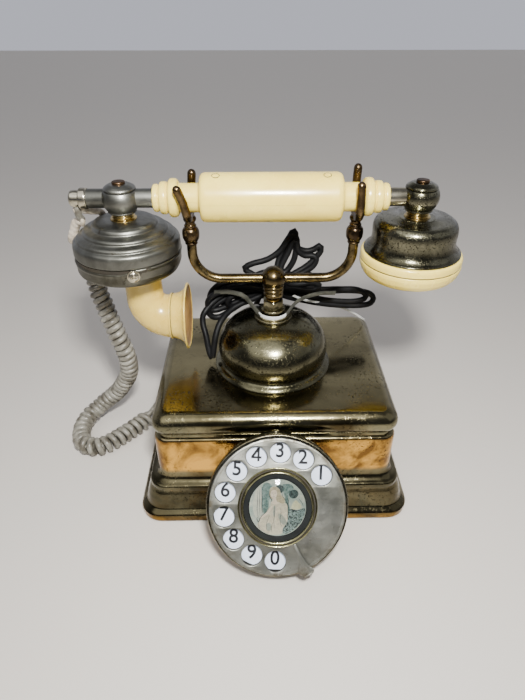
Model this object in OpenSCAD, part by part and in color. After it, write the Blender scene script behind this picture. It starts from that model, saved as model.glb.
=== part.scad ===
// Antique style desk telephone: brass base with a rotary dial, fork cradle and two-cup handset.
// Millimetres. +X right, +Y back, +Z up. The origin is the middle of the base's underside.

/* [Base] */
// Width of the plinth
base_w = 172; // [168:0.5:178]
// Depth of the plinth
base_d = 144; // [140:0.5:150]
// Height of the flat top above the table
base_h = 76; // [75:0.5:80]
// Thickness of the pressed brass shell
shell_t = 1.5; // [1.2:0.1:1.8]

/* [Dome] */
// Largest radius of the bell-shaped dome
dome_r = 35.3; // [34:0.1:36]
// Height of the dome
dome_h = 34.2; // [33:0.1:35]

/* [Dial] */
// Diameter of the finger wheel
dial_d = 76; // [75:0.5:77]
// Angle that the dial's face leans back from upright
dial_tilt = 35; // [34:0.5:36]
// How far the middle of the dial's face is in front of the column
dial_reach = 96; // [95.5:0.5:98]
// Height of the middle of the dial's face
dial_height = 43; // [42.5:0.5:44]
// Diameter of a finger hole
finger_hole_d = 12; // [11:0.5:12.5]

/* [Cradle] */
// Distance between the two forks
fork_spacing = 93; // [92:0.2:94]
// Height of the rod that carries the forks
rod_z = 136.3; // [135.5:0.1:137]
// Diameter of the rod
rod_d = 5.8; // [5:0.1:6.4]
// Travel of the hook
hook_travel = 5; // [4:0.5:6]

/* [Handset] */
// Height of the handset's axis when it rests in the forks
handset_z = 185.8; // [185:0.1:187]
// Sideways offset of the handset in the forks
handset_x = -1.8; // [-2.2:0.1:-1.8]
// Distance between the two cup axes
cup_spacing = 166; // [165:0.5:168]
// Diameter of the grip
grip_d = 26.8; // [26:0.2:28]
// Length of the grip
grip_l = 78.4; // [77:0.2:80]
// Diameter of the metal tube
tube_d = 10.4; // [10:0.1:11]

/* [Cords] */
// Outside diameter of the curly cord's turns
curl_d = 14; // [10:0.5:15]
// Diameter of the line cord
cord_d = 4; // [3.6:0.1:4.2]

/* [Hidden] */
$fn = 48;
eps = 0.01;
fit = 0.05; // radial clearance of a shaft that turns or slides in its bore

// ---- derived values ----
bullnose_r = 8.25;
slab_inset = 12;
body_inset = 12.5;
slab_inner_z = base_h - shell_t;
corner_r = 14;
corner_steps = 6;
pad_top = 2;
plate_top = 3.4;
post_x = 62;
post_y = 47;

wheel_r = dial_d / 2;
wheel_t = 1.6;
hole_pitch_r = 0.797 * wheel_r;
first_hole = 34.6; // angle of hole 1, anticlockwise from the right
hole_step = 25.83;
stop_angle = -66;
bezel_r = 22.3;
gasket_r = 19.3;
picture_r = 15.8;
plate_front = -3.6; // depths behind the wheel's front face
gear_front = -5.4;
back_front = -10.6;
case_front = -2.6;
case_back = -13;
case_r = 40.3;
gear_teeth = 48;
pinion_teeth = 12;
gear_module = 0.8;
governor_r = (gear_teeth + pinion_teeth) * gear_module / 2 + 0.08;

dome_top = base_h + dome_h;
washer_top = dome_top + 2;
nut_washer_z = washer_top + 2.2;
nut_z = nut_washer_z + 1.9;
nut_top = nut_z + 6;
bush_r = 4.2;
shaft_r = 3;
spring_bottom = 44;
spring_top = 54;

fork_x = fork_spacing / 2;
fork_left_x = -fork_x - 1.3;
bend_r = 17;
rod_r = rod_d / 2;
collar_z = rod_z + 28.7;
collar_r = 5;
prong_r = 2.4;
neck_r = 7.9;
saddle_r = neck_r + 0.3 + prong_r;

grip_r = grip_d / 2;
grip_end = grip_l / 2;
neck_end = 51;
tube_r = tube_d / 2;
tube_left = -103; // measured from the middle of the handset
tube_right = 88;
ball_r = 9.75;
cup_x = cup_spacing / 2;
cup_top = -11.3; // heights measured from the handset's axis

cord_r = cord_d / 2;
lead_r = 1.9;
curl_r = curl_d / 2;

// The handset cord, from its grommet in the left of the plinth to the end of the handset
lead_in_route = [[-81, 30, 14], [-87, 30, 14], [-91, 26, 11]];
curl_route = [[-94, 21, 8.6], [-99, 14, 7.4], [-107, 5, 7.2], [-117, -6, 7.2], [-127, -11, 7.2],
    [-137, -7, 7.2], [-142, 5, 7.6], [-140, 18, 9.6], [-131, 27, 15], [-116, 28, 28],
    [-103.5, 22, 51], [-102.5, 18, 70], [-106, 19, 84], [-112, 24, 100], [-117, 29, 117],
    [-118, 30, 132], [-117, 29, 146]];
lead_out_route = [[-119.5, 22, 151], [-121, 14, 156], [-118, 10, 162], [-114.6, 7.6, 168.6],
    [-109.8, 4, 172], [-110, 1, 176], [-109.4, 0, 179], [-109.4, 0, 183.2]];
cup_lead_route = [[-109.4, 0, 179.6], [-107, 3, 178], [-103.5, 7, 176.2], [-101, 11, 175],
    [-100.4, 12.6, 173.8]];

// The line cord: over the slab's back edge to the hank, and from the hank down to the plug
line_lead_route = [[30, 66, 14], [30, 75, 14], [32, 90, 4], [24, 96, 2.2], [16, 88, 8],
    [12, 79, 40], [10, 73, 70], [7, 56, 84], [5, 42, 98], [4, 31, 114]];
plug_lead_route = [[-6, 30, 114], [-9, 42, 98], [-11, 56, 84], [-12, 73, 70],
    [-14, 79, 40], [-20, 88, 8], [-32, 94, 4.5], [-42, 94, 6]];
droop_route = [[-28, 15, 108], [-33.5, 6, 103], [-37, 0, 96], [-38.6, -3, 88], [-40, -4.4, 81],
    [-42.4, 0, 90], [-45.6, 7, 100], [-44, 15, 104]];
bundle_route = [[-46, 18, 101], [-42, 18.5, 103], [-33, 20, 107], [-20, 22, 114.5],
    [0, 23, 121], [14, 25, 122], [26, 26, 119], [30, 26.5, 118]];
bundle_radii = [3, 7.5, 8.6, 8.8, 9, 7.5, 4.5, 2.5];

// ---- general functions and modules ----
function unit(v) = v / norm(v);
function heading(p, i) = unit(p[min(i + 1, len(p) - 1)] - p[max(i - 1, 0)]);
function square_to(n, t) = unit(n - (n * t) * t);
function start_axis(t) = square_to(abs(t[2]) < 0.9 ? [0, 0, 1] : [1, 0, 0], t);

// One side axis for each point of a path, turning as little as it can
function side_axes(p) = [
    for (i = 0, n = start_axis(heading(p, 0)); i < len(p);
        i = i + 1, n = i < len(p) ? square_to(n, heading(p, i)) : n) n];

// Point on a smooth curve through b and c, with a and d as the points outside them
function curve_point(a, b, c, d, t) = 0.5 * (2 * b + (c - a) * t
    + (2 * a - 5 * b + 4 * c - d) * t * t + (3 * b - a - 3 * c + d) * t * t * t);

function smooth(p, n) = concat(
    [for (i = [0 : len(p) - 2], k = [0 : n - 1])
        curve_point(p[max(i - 1, 0)], p[i], p[i + 1], p[min(i + 2, len(p) - 1)], k / n)],
    [p[len(p) - 1]]);

function round_section(c, t, n, r, sides) = [for (k = [0 : sides - 1])
    c + r * (cos(360 * k / sides) * n + sin(360 * k / sides) * cross(t, n))];

// Closed solid through a list of rings that all have the same number of points
module skin(rings) {
    n = len(rings[0]);
    last = (len(rings) - 1) * n;
    walls = [for (i = [0 : len(rings) - 2], k = [0 : n - 1], half = [0, 1])
        half == 0
            ? [i * n + k, (i + 1) * n + k, (i + 1) * n + (k + 1) % n]
            : [i * n + k, (i + 1) * n + (k + 1) % n, i * n + (k + 1) % n]];
    start_cap = [for (k = [0 : n - 1]) k];
    end_cap = [for (k = [0 : n - 1]) last + n - 1 - k];
    polyhedron([for (r = rings) each r], concat([start_cap], walls, [end_cap]));
}

module sweep(p, radii, sides) {
    axes = side_axes(p);
    skin([for (i = [0 : len(p) - 1])
        round_section(p[i], heading(p, i), axes[i], radii[i], sides)]);
}

module tube_along(p, r, sides) {
    sweep(p, [for (q = p) r], sides);
}

// Rounded rectangle, inset from the plinth's outline and at height z
function plan_ring(inset, z) = [
    for (q = [0 : 3], k = [0 : corner_steps])
        let (
            a = 90 * q + 90 * k / corner_steps,
            r = corner_r - 0.4 * inset,
            sx = q == 0 || q == 3 ? 1 : -1,
            sy = q < 2 ? 1 : -1)
        [sx * (base_w / 2 - inset - r) + r * cos(a), sy * (base_d / 2 - inset - r) + r * sin(a), z]];

module plan_plate(inset, z0, z1) {
    translate([0, 0, z0]) {
        linear_extrude(z1 - z0) {
            polygon([for (p = plan_ring(inset, 0)) [p[0], p[1]]]);
        }
    }
}

module ring(r_out, r_in, z0, z1) {
    translate([0, 0, z0]) {
        difference() {
            cylinder(r = r_out, h = z1 - z0);
            translate([0, 0, -1]) {
                cylinder(r = r_in, h = z1 - z0 + 2);
            }
        }
    }
}

module at_dial() {
    translate([0, -dial_reach, dial_height]) {
        rotate([90 - dial_tilt, 0, 0]) {
            children();
        }
    }
}

// Turns a child drawn along Z to lie along X, at the handset's axis
module at_handset() {
    translate([handset_x, 0, handset_z]) {
        children();
    }
}

module along_x() {
    rotate([0, 90, 0]) {
        children();
    }
}

// ---- base ----
bullnose_profile = [for (a = [-62, -45, -25, -5, 15, 35, 55, 75, 90])
    [slab_inset + bullnose_r * (1 - cos(a)), base_h - bullnose_r * (1 - sin(a))]];

shell_outside = concat([[0.5, 0.5], [0, 1.2], [0, 5.6], [0.5, 6.3], [3.2, 8.6], [3.6, 9.4],
    [3.9, 11.5], [4.6, 15], [5.8, 18.6], [7, 21.2], [6.8, 22], [6.8, 24], [7.6, 25.3],
    [9.4, 26], [11.2, 27.4], [12.2, 29.6], [body_inset, 32.5], [body_inset, 57.2],
    [13.2, 58.6], [15, 59.4]], bullnose_profile);

shell_inside = [[1.6, 0.5], [1.6, 6.3], [5, 9.8], [5.5, 12], [6.4, 16], [8.6, 21],
    [8.6, 25.4], [12.6, 28.6], [14, 32.5], [14, 57], [17.6, 60.4], [14.8, 63.4],
    [13.7, 67], [14, 70], [16, 73], [20.25, slab_inner_z]];

module neck_outline(z) {
    linear_extrude(z) {
        square([46, 22], center = true);
    }
}

// Places children on the body's front face, behind the dial
module at_front_face() {
    translate([0, -base_d / 2 + body_inset, 46]) {
        rotate([90, 0, 0]) {
            children();
        }
    }
}

module base_shell() {
    color("darkgoldenrod")
    difference() {
        skin(concat(
            [for (i = [len(shell_inside) - 1 : -1 : 0]) plan_ring(shell_inside[i][0], shell_inside[i][1])],
            [for (p = shell_outside) plan_ring(p[0], p[1])]));
        translate([0, 0, base_h - 5]) {
            cylinder(r = bush_r, h = 10);
        }
        translate([0, -base_d / 2 + body_inset, 46]) {
            cube([40, 12, 16], center = true);
        }
        translate([-base_w / 2 - 1, 30, 14]) {
            rotate([0, 90, 0]) {
                cylinder(r = 3.5, h = 14);
            }
        }
        translate([30, base_d / 2 + 1, 14]) {
            rotate([90, 0, 0]) {
                cylinder(r = 3.5, h = 14);
            }
        }
    }
}

module at_corners() {
    for (x = [-post_x, post_x], y = [-post_y, post_y]) {
        translate([x, y, 0]) {
            children();
        }
    }
}

module base_plate() {
    color("dimgray")
    difference() {
        plan_plate(2.2, pad_top, plate_top);
        at_corners() {
            cylinder(r = 1.7, h = 10);
        }
    }
}

module base_pad() {
    color("darkolivegreen")
    difference() {
        plan_plate(3, 0, pad_top);
        at_corners() {
            translate([0, 0, -1]) {
                cylinder(r = 5, h = 10);
            }
        }
    }
}

module base_screws() {
    color("silver")
    at_corners() {
        difference() {
            translate([0, 0, pad_top - 1.4]) {
                cylinder(r = 3.6, h = 1.4);
            }
            cube([8, 0.9, 1.9], center = true);
        }
        translate([0, 0, pad_top]) {
            cylinder(r = 1.5, h = 12);
        }
    }
}

module corner_posts() {
    color("goldenrod")
    at_corners() {
        difference() {
            translate([0, 0, plate_top]) {
                cylinder(r = 3.5, h = slab_inner_z - plate_top);
            }
            translate([0, 0, plate_top - 1]) {
                cylinder(r = 1.5, h = 13);
            }
        }
    }
}

// Dome outline as [radius, height], with the wall thickness taken off for the inside
dome_outline = [[dome_r + 2.3, 0], [dome_r + 2.3, 0.8], [dome_r + 1, 1.7], [dome_r - 0.7, 3],
    [dome_r - 1.5, 4.6], [dome_r - 1.1, 6.2], [dome_r - 0.3, 8.6], [dome_r, 11.5],
    [dome_r - 0.3, 15], [dome_r - 1.4, 19], [dome_r - 3.7, 23.2], [dome_r - 7.1, 26.9],
    [dome_r - 11.7, 29.9], [dome_r - 17.3, 32.2], [12.2, dome_h - 0.2], [12, dome_h], [bush_r, dome_h]];

dome_inside = [[bush_r, dome_h - 1.2], [12, dome_h - 1.5], [dome_r - 18, 31], [dome_r - 12.4, 28.8],
    [dome_r - 8, 25.9], [dome_r - 4.8, 22.5], [dome_r - 2.5, 18.6], [dome_r - 1.5, 15],
    [dome_r - 1.2, 11.5], [dome_r - 1.5, 8.7], [dome_r - 2.3, 6.4], [dome_r - 2.7, 4.4],
    [dome_r - 1.9, 2.4], [dome_r, 0.9], [dome_r, 0]];

module dome_cover() {
    color("goldenrod")
    translate([0, 0, base_h]) {
        rotate_extrude() {
            polygon(concat(dome_outline, dome_inside));
        }
    }
}

module washers() {
    color("goldenrod")
    union() {
        ring(12, bush_r, dome_top, dome_top + 1);
        ring(10.5, bush_r, dome_top + 1, washer_top);
        ring(7.6, bush_r, nut_washer_z, nut_z);
    }
}

module column_bush() {
    color("goldenrod")
    union() {
        ring(bush_r, shaft_r + fit, slab_inner_z - 6, nut_top + 0.4);
        ring(9, shaft_r + fit, slab_inner_z - 3, slab_inner_z);
    }
}

module lock_nut() {
    color("darkgoldenrod")
    translate([0, 0, nut_z]) {
        difference() {
            rotate([0, 0, 30]) {
                cylinder(r = 6.9, h = nut_top - nut_z, $fn = 6);
            }
            translate([0, 0, -1]) {
                cylinder(r = bush_r, h = 10);
            }
        }
    }
}

// ---- hook switch inside the base ----
module hook_bracket() {
    color("silver")
    union() {
        difference() {
            translate([-7, -9, spring_bottom - 1.6]) {
                cube([14, 18, 1.6]);
            }
            translate([0, 0, spring_bottom - 3]) {
                cylinder(r = shaft_r + fit, h = 6);
            }
        }
        for (y = [-10.2, 9]) {
            translate([-7, y, spring_bottom - 1.6]) {
                cube([14, 1.2, slab_inner_z - spring_bottom + 1.6]);
            }
        }
    }
}

spring_turns = 4;
spring_wire = 0.5;

module hook_spring() {
    coil = [for (i = [0 : 12 * spring_turns])
        [5.2 * cos(30 * i), 5.2 * sin(30 * i),
            spring_bottom + spring_wire + (spring_top - spring_bottom - 2 * spring_wire) * i / (12 * spring_turns)]];
    color("silver")
    tube_along(coil, spring_wire, 6);
}

// Two contact leaves, which the column's flange works
module hook_switch() {
    color("peru")
    union() {
        for (z = [60, 63]) {
            translate([-3, 6.8, z]) {
                cube([6, 2.2, 2.4]);
            }
            translate([-2.5, 4.2, z + 0.9]) {
                cube([5, 4.8, 0.3]);
            }
        }
    }
}

// ---- ringer ----
gong_x = 31;
gong_y = 24;
gong_r = 21;
gong_top = 50;
striker_y = 26;
coil_y = -24;

module ringer_frame() {
    color("silver")
    union() {
        translate([-24, coil_y - 14, plate_top]) {
            cube([48, 33, 1.2]);
        }
        translate([-8, -7.8, plate_top + 1.2]) {
            cube([16, 2, 19]);
        }
        translate([0, -10.5, plate_top + 1.2]) {
            cylinder(r = 2.6, h = 20);
        }
        translate([0, -10.5, plate_top + 21.2]) {
            cylinder(r = 1.25, h = 7.5);
        }
    }
}

module ringer_coils() {
    color("firebrick")
    for (x = [-13, 13]) {
        translate([x, coil_y, plate_top + 1.2]) {
            ring(8, 3, 1.2, 22);
            ring(9.6, 3, 0, 1.2);
            ring(9.6, 3, 22, 23.2);
            cylinder(r = 3, h = 25);
        }
    }
}

module gong_posts() {
    color("silver")
    for (x = [-gong_x, gong_x]) {
        translate([x, gong_y, 0]) {
            translate([0, 0, plate_top]) {
                cylinder(r = 3, h = gong_top - 1.6 - plate_top);
            }
            translate([0, 0, gong_top]) {
                cylinder(r = 3.6, h = 2);
            }
            translate([0, 0, plate_top]) {
                cylinder(r = 1.5, h = gong_top - plate_top + 1);
            }
        }
    }
}

module gongs() {
    color("gold")
    for (x = [-gong_x, gong_x]) {
        translate([x, gong_y, gong_top]) {
            rotate_extrude() {
                polygon([[1.6, 0], [8, -0.6], [14, -2.6], [18.5, -6.6], [20.6, -11.5],
                    [gong_r, -14], [gong_r - 1.4, -14], [19.2, -11.6], [17.3, -7.5],
                    [13.3, -4], [7.7, -2], [1.6, -1.4]]);
            }
        }
    }
}

clapper_pivot_z = plate_top + 22;

// Arm and striker ball, which swings between the gongs about the pin of the ringer's frame
module clapper() {
    color("gold")
    difference() {
        union() {
            translate([0, -10.5, clapper_pivot_z]) {
                cylinder(r = 3, h = 5);
            }
            translate([-0.9, -8.5, clapper_pivot_z + 1.5]) {
                cube([1.8, striker_y + 8.5, 1.6]);
            }
            translate([0, striker_y, clapper_pivot_z + 2.3]) {
                cylinder(r = 1.2, h = 14);
            }
            translate([0, striker_y, clapper_pivot_z + 16]) {
                sphere(r = 4);
            }
        }
        translate([0, -10.5, clapper_pivot_z - 1]) {
            cylinder(r = 1.25 + fit, h = 8);
        }
    }
}

module terminal_block() {
    color("saddlebrown")
    union() {
        translate([40, -20, plate_top]) {
            cube([22, 34, 8]);
        }
        for (y = [-14, -6, 2, 9]) {
            translate([51, y, plate_top + 8]) {
                cylinder(r = 2, h = 2.4);
            }
        }
    }
}

loom_route = [[0, -57, 46], [8, -50, 42], [24, -46, 26], [38, -34, 14], [46, -24, 9], [47, -20, 8]];

module wire_loom() {
    color("darkred")
    tube_along(smooth(loom_route, 3), 1.4, 8);
}

// ---- dial ----
module neck_solid(r, wall) {
    hull() {
        at_dial() {
            translate([0, 0, case_back - eps]) {
                cylinder(r = r, h = eps, $fn = 32);
            }
        }
        at_front_face() {
            linear_extrude(eps) {
                square([50 - 2 * wall, 24 - 2 * wall], center = true);
            }
        }
    }
}

// Pressed neck that carries the dial's case on the front of the body
module dial_neck() {
    color("darkgoldenrod")
    difference() {
        neck_solid(32, 0);
        hull() {
            at_dial() {
                translate([0, 0, case_back - 0.1]) {
                    cylinder(r = 30.6, h = 2, $fn = 32);
                }
            }
            at_front_face() {
                translate([0, 0, -2]) {
                    linear_extrude(2.1) {
                        square([47, 21], center = true);
                    }
                }
            }
        }
    }
}

module dial_case() {
    color("darkgoldenrod")
    at_dial() {
        ring(case_r, case_r - 1.5, case_back + 1.2, case_front);
        ring(case_r, 15, case_back, case_back + 1.2);
    }
}

module dial_clamp_screw() {
    color("goldenrod")
    at_dial() {
        translate([0, case_r + 0.02, -9.8]) {
            rotate([-90, 0, 0]) {
                difference() {
                    cylinder(r = 2.2, h = 1.7);
                    translate([0, 0, 1.7]) {
                        cube([5, 0.7, 1.2], center = true);
                    }
                }
            }
        }
    }
}

// Plate with the posts that hold the number plate
module dial_backplate() {
    color("silver")
    at_dial() {
        difference() {
            translate([0, 0, case_back + 1.2]) {
                cylinder(r = case_r - 1.5, h = 1.2);
            }
            translate([0, 0, case_back]) {
                cylinder(r = 2 + fit, h = 4);
            }
            translate([0, governor_r, case_back]) {
                cylinder(r = 1 + fit, h = 4);
            }
        }
        for (a = [30, 150, 270]) {
            rotate([0, 0, a]) {
                translate([34.5, 0, back_front - 0.6]) {
                    cylinder(r = 1.6, h = plate_front - back_front - 0.2);
                }
            }
        }
    }
}

module number_plate() {
    color("white")
    at_dial() {
        ring(36.2, 5, plate_front - 0.8, plate_front);
    }
}

module finger_stop() {
    color("silver")
    at_dial() {
        rotate([0, 0, stop_angle]) {
            translate([24, -1.4, 0.7]) {
                cube([17, 2.8, 0.9]);
            }
            translate([case_r - 1.5, -2.4, case_front - 1.5]) {
                difference() {
                    cube([2.8, 4.8, 4.8 + 0.9]);
                    translate([-1, -1, -1]) {
                        cube([2.5, 8, 2.5]);
                    }
                }
            }
        }
    }
}

module spring_barrel() {
    color("silver")
    at_dial() {
        ring(9, 2 + fit, back_front, gear_front - 2.4);
    }
}

module impulse_contacts() {
    color("peru")
    at_dial() {
        rotate([0, 0, 205]) {
            translate([23, -4, back_front]) {
                cube([8, 8, 2]);
            }
            for (y = [-2.4, 1.6]) {
                translate([15, y, back_front + 2]) {
                    cube([14, 0.8, 0.5]);
                }
            }
        }
    }
}

module finger_wheel() {
    color("silver")
    at_dial() {
        difference() {
            translate([0, 0, -wheel_t]) {
                cylinder(r = wheel_r, h = wheel_t, $fn = 96);
            }
            translate([0, 0, -wheel_t - 1]) {
                cylinder(r = 4, h = wheel_t + 2);
            }
            for (i = [0 : 9]) {
                rotate([0, 0, first_hole + i * hole_step]) {
                    translate([hole_pitch_r, 0, -wheel_t - 1]) {
                        cylinder(r = finger_hole_d / 2, h = wheel_t + 2);
                    }
                }
            }
        }
    }
}

module dial_bezel() {
    color("gold")
    at_dial() {
        rotate_extrude() {
            polygon([[gasket_r, 0], [bezel_r, 0], [bezel_r - 0.2, 1], [bezel_r - 1.2, 1.9],
                [gasket_r + 0.4, 2.6], [gasket_r, 2.2]]);
        }
    }
}

module dial_gasket() {
    color("#303438")
    at_dial() {
        ring(gasket_r, picture_r, 0, 1.4);
    }
}

module dial_picture() {
    color("beige")
    at_dial() {
        cylinder(r = picture_r, h = 0.5);
    }
}

lens_sphere_r = 43;

module dial_lens() {
    color([0.9, 0.95, 1, 0.4])
    at_dial() {
        rotate_extrude() {
            polygon(concat([[0, 0.5], [picture_r, 0.5]],
                [for (r = [picture_r : -2 : 0]) [r, 3.6 - lens_sphere_r + sqrt(pow(lens_sphere_r, 2) - r * r)]],
                [[0, 3.6]]));
        }
    }
}

module dial_shaft() {
    color("silver")
    at_dial() {
        translate([0, 0, case_back + 1.2]) {
            cylinder(r = 2, h = -case_back - 1.2);
        }
        ring(4, 2, -4.2, 0);
    }
}

// Half the angle of a tooth at radius r, from an involute on base radius rb
function involute(rb, r) = r <= rb ? 0 : sqrt(pow(r / rb, 2) - 1) * 180 / PI - acos(rb / r);
function half_tooth(teeth, slack, r) = 90 / teeth + involute(cos(20), 1) - slack
    - involute(cos(20) * teeth * gear_module / 2, r);

function gear_outline(teeth, radii, slack) = [
    for (i = [0 : teeth - 1], k = [0 : 2 * len(radii) - 1])
        let (
            side = k < len(radii) ? -1 : 1,
            r = radii[k < len(radii) ? k : 2 * len(radii) - 1 - k],
            a = 360 / teeth * i + side * half_tooth(teeth, slack, r))
        [r * cos(a), r * sin(a)]];

module dial_gear() {
    color("gold")
    at_dial() {
        translate([0, 0, gear_front - 1.8]) {
            linear_extrude(1.8) {
                difference() {
                    polygon(gear_outline(gear_teeth, [18.2, 18.8, 19.2, 19.6], 0.35));
                    circle(r = 2);
                }
            }
        }
    }
}

// Pinion, shaft and the governor's weighted disc
module governor() {
    color("gold")
    at_dial() {
        translate([0, governor_r, 0]) {
            translate([0, 0, gear_front - 2]) {
                rotate([0, 0, 15]) {
                    linear_extrude(2.2) {
                        polygon(gear_outline(pinion_teeth, [3.95, 4.55, 4.9, 5.3], 1.4));
                    }
                }
            }
            translate([0, 0, case_back + 1.2]) {
                cylinder(r = 1, h = 7);
            }
            translate([0, 0, gear_front - 4.6]) {
                cylinder(r = 8, h = 1.6);
            }
        }
    }
}

// ---- cradle ----
column_outline = [[0, 38], [shaft_r, 38], [shaft_r, spring_top], [6.4, spring_top],
    [6.4, spring_top + 1.6], [shaft_r, spring_top + 1.6], [shaft_r, nut_top + 2],
    [5.6, nut_top + 2.2], [6.1, nut_top + 3.2], [6.1, nut_top + 4.4], [5.2, nut_top + 5.2],
    [5.2, nut_top + 5.8], [6.3, nut_top + 6.4], [6.3, nut_top + 7.2], [5.7, nut_top + 7.8],
    [6.4, nut_top + 8.4], [6.4, nut_top + 9.4], [5.8, nut_top + 10.2], [0, nut_top + 10.2]];

module cradle_column() {
    color("#7a4a22")
    difference() {
        union() {
            rotate_extrude() {
                polygon(column_outline);
            }
            translate([0, 0, rod_z]) {
                sphere(r = 7.5);
            }
        }
        translate([0, 0, rod_z]) {
            along_x() {
                cylinder(r = rod_r, h = 40, center = true);
            }
        }
    }
}

// Half of the rod out to the upright at x
module rod_half(x) {
    reach = abs(x);
    span = reach - bend_r;
    mirror([x < 0 ? 1 : 0, 0, 0]) {
        along_x_at_rod(0, span);
        translate([span, 0, rod_z + bend_r]) {
            rotate([90, 0, 0]) {
                rotate([0, 0, -90]) {
                    rotate_extrude(angle = 90) {
                        translate([bend_r, 0]) {
                            circle(r = rod_r);
                        }
                    }
                }
            }
        }
        translate([reach, 0, rod_z + bend_r]) {
            cylinder(r = rod_r, h = collar_z - rod_z - bend_r);
        }
    }
}

module along_x_at_rod(x0, x1) {
    translate([x0, 0, rod_z]) {
        along_x() {
            cylinder(r = rod_r, h = x1 - x0);
        }
    }
}

module cradle_rod() {
    color("peru")
    difference() {
        union() {
            rod_half(fork_x);
            rod_half(fork_left_x);
        }
        for (x = [fork_left_x, fork_x]) {
            translate([x, 0, collar_z]) {
                sphere(r = collar_r);
            }
        }
    }
}

// Makes the U of a fork squarer than a half circle
function flat_root(v) = sign(v) * pow(abs(v), 0.7);

// U of round bar round the handset's neck, from the tip of the back arm to the front tip
module fork(x, front_tip) {
    front = [0, -saddle_r, 0];
    way = unit(front_tip - front);
    path = concat(
        [[0, saddle_r, 13.2], [0, saddle_r, 11.8]],
        [for (a = [0 : 15 : 180]) [0, saddle_r * flat_root(cos(a)), -saddle_r * flat_root(sin(a))]],
        [front_tip - 1.4 * way, front_tip]);
    translate([x, 0, 0]) {
        translate([0, 0, collar_z]) {
            sphere(r = collar_r);
        }
        translate([0, 0, collar_z + 3.8]) {
            cylinder(r = 3.4, h = handset_z - saddle_r - collar_z - 3.8);
        }
        translate([0, 0, handset_z]) {
            sweep(path, concat([1.3], [for (i = [1 : len(path) - 2]) prong_r], [1.3]), 12);
        }
    }
}

module forks() {
    color("#6b4a22")
    union() {
        fork(fork_left_x, [-3.6, -saddle_r - 2.6, 12]);
        fork(fork_x, [0, -saddle_r, 12]);
    }
}

// ---- handset ----
// Half outline of the cream grip, from the middle outwards
grip_profile = [[grip_r, 0], [grip_r, grip_end - 2.4], [grip_r - 0.7, grip_end - 0.9],
    [grip_r - 2.4, grip_end], [neck_r + 0.6, grip_end], [neck_r, grip_end + 0.8],
    [neck_r, neck_end], [9.6, neck_end], [10.4, neck_end + 1], [10.4, neck_end + 4.4],
    [9.6, neck_end + 5.3], [8.2, neck_end + 5.4], [8.2, neck_end + 5.8], [8.8, neck_end + 6],
    [8.8, neck_end + 10], [8.2, neck_end + 10.2], [7, neck_end + 10.3], [7, neck_end + 10.7],
    [7.5, neck_end + 10.8], [7.5, neck_end + 13.6], [7.1, neck_end + 14]];

module grip_whole() {
    left = [for (i = [len(grip_profile) - 1 : -1 : 0]) [grip_profile[i][0], -grip_profile[i][1]]];
    at_handset() {
        along_x() {
            rotate_extrude() {
                polygon(concat([[tube_r, -neck_end - 14]], left, grip_profile, [[tube_r, neck_end + 14]]));
            }
        }
    }
}

module grip_screw_holes(r) {
    for (x = [-30, 30]) {
        translate([handset_x + x, 0, handset_z]) {
            rotate([14, 0, 0]) {
                translate([0, 0, grip_r - 2.2]) {
                    cylinder(r = r, h = 6);
                }
            }
        }
    }
}

module grip_upper() {
    color("wheat")
    difference() {
        grip_whole();
        translate([-120, -40, handset_z - 40]) {
            cube([240, 80, 40]);
        }
        grip_screw_holes(2);
    }
}

module grip_lower() {
    color("wheat")
    difference() {
        grip_whole();
        translate([-120, -40, handset_z]) {
            cube([240, 80, 40]);
        }
    }
}

module grip_screws() {
    color("burlywood")
    for (x = [-30, 30]) {
        translate([handset_x + x, 0, handset_z]) {
            rotate([14, 0, 0]) {
                translate([0, 0, grip_r - 2.2]) {
                    difference() {
                        cylinder(r = 2, h = 1.7);
                        translate([0, 0, 1.7]) {
                            cube([5, 0.7, 1], center = true);
                        }
                    }
                }
            }
        }
    }
}

module handset_tube() {
    color("silver")
    at_handset() {
        along_x() {
            ring(tube_r, tube_r - 0.9, tube_left, tube_right);
        }
    }
}

// Ferrule and hollow cap at the open end of the tube, where the cord comes out
module tube_end_cap() {
    color("silver")
    at_handset() {
        difference() {
            along_x() {
                union() {
                    ring(tube_r + 0.6, tube_r, tube_left - eps, tube_left + 2);
                    ring(tube_r + 0.6, 3.4, tube_left - 2.4, tube_left);
                    ring(4.7, 3.4, tube_left - 7, tube_left - 2.4);
                    translate([0, 0, tube_left - 8]) {
                        cylinder(r = 4.7, h = 1);
                    }
                }
            }
            translate([tube_left - 7.2, -2.6, -8]) {
                cube([5.2, 5.2, 5.2]);
            }
        }
    }
}

ball_outline = [for (a = [-56 : 8 : 24]) [ball_r * cos(a), ball_r * sin(a)]];

module ball_joint(x) {
    translate([handset_x + x, 0, handset_z]) {
        difference() {
            rotate_extrude() {
                polygon(concat([[0, -8.3], [5.4, -8.3]], ball_outline,
                    [[8.2, 4.6], [7.6, 4.8], [8, 5.2], [7.7, 6], [6.4, 7.2], [5, 8.1], [0, 8.2]]));
            }
            along_x() {
                cylinder(r = tube_r, h = 40, center = true);
            }
        }
    }
}

module ball_joints() {
    color("gray")
    union() {
        ball_joint(-cup_x);
        ball_joint(cup_x);
    }
}

module ball_screws() {
    color("sienna")
    for (x = [-cup_x, cup_x]) {
        translate([handset_x + x, 0, handset_z + 8.2]) {
            difference() {
                cylinder(r = 3.6, h = 1.6);
                translate([0, 0, 1.6]) {
                    cube([9, 0.8, 1.4], center = true);
                }
            }
        }
    }
}

module cup_stems() {
    color("gold")
    for (x = [-cup_x, cup_x]) {
        translate([handset_x + x, 0, handset_z]) {
            rotate_extrude() {
                polygon([[0, cup_top], [7, cup_top], [7, cup_top + 0.8], [6.2, cup_top + 1.3],
                    [6.6, cup_top + 1.8], [6, cup_top + 2.4], [5.4, cup_top + 3], [0, cup_top + 3]]);
            }
        }
    }
}

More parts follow.
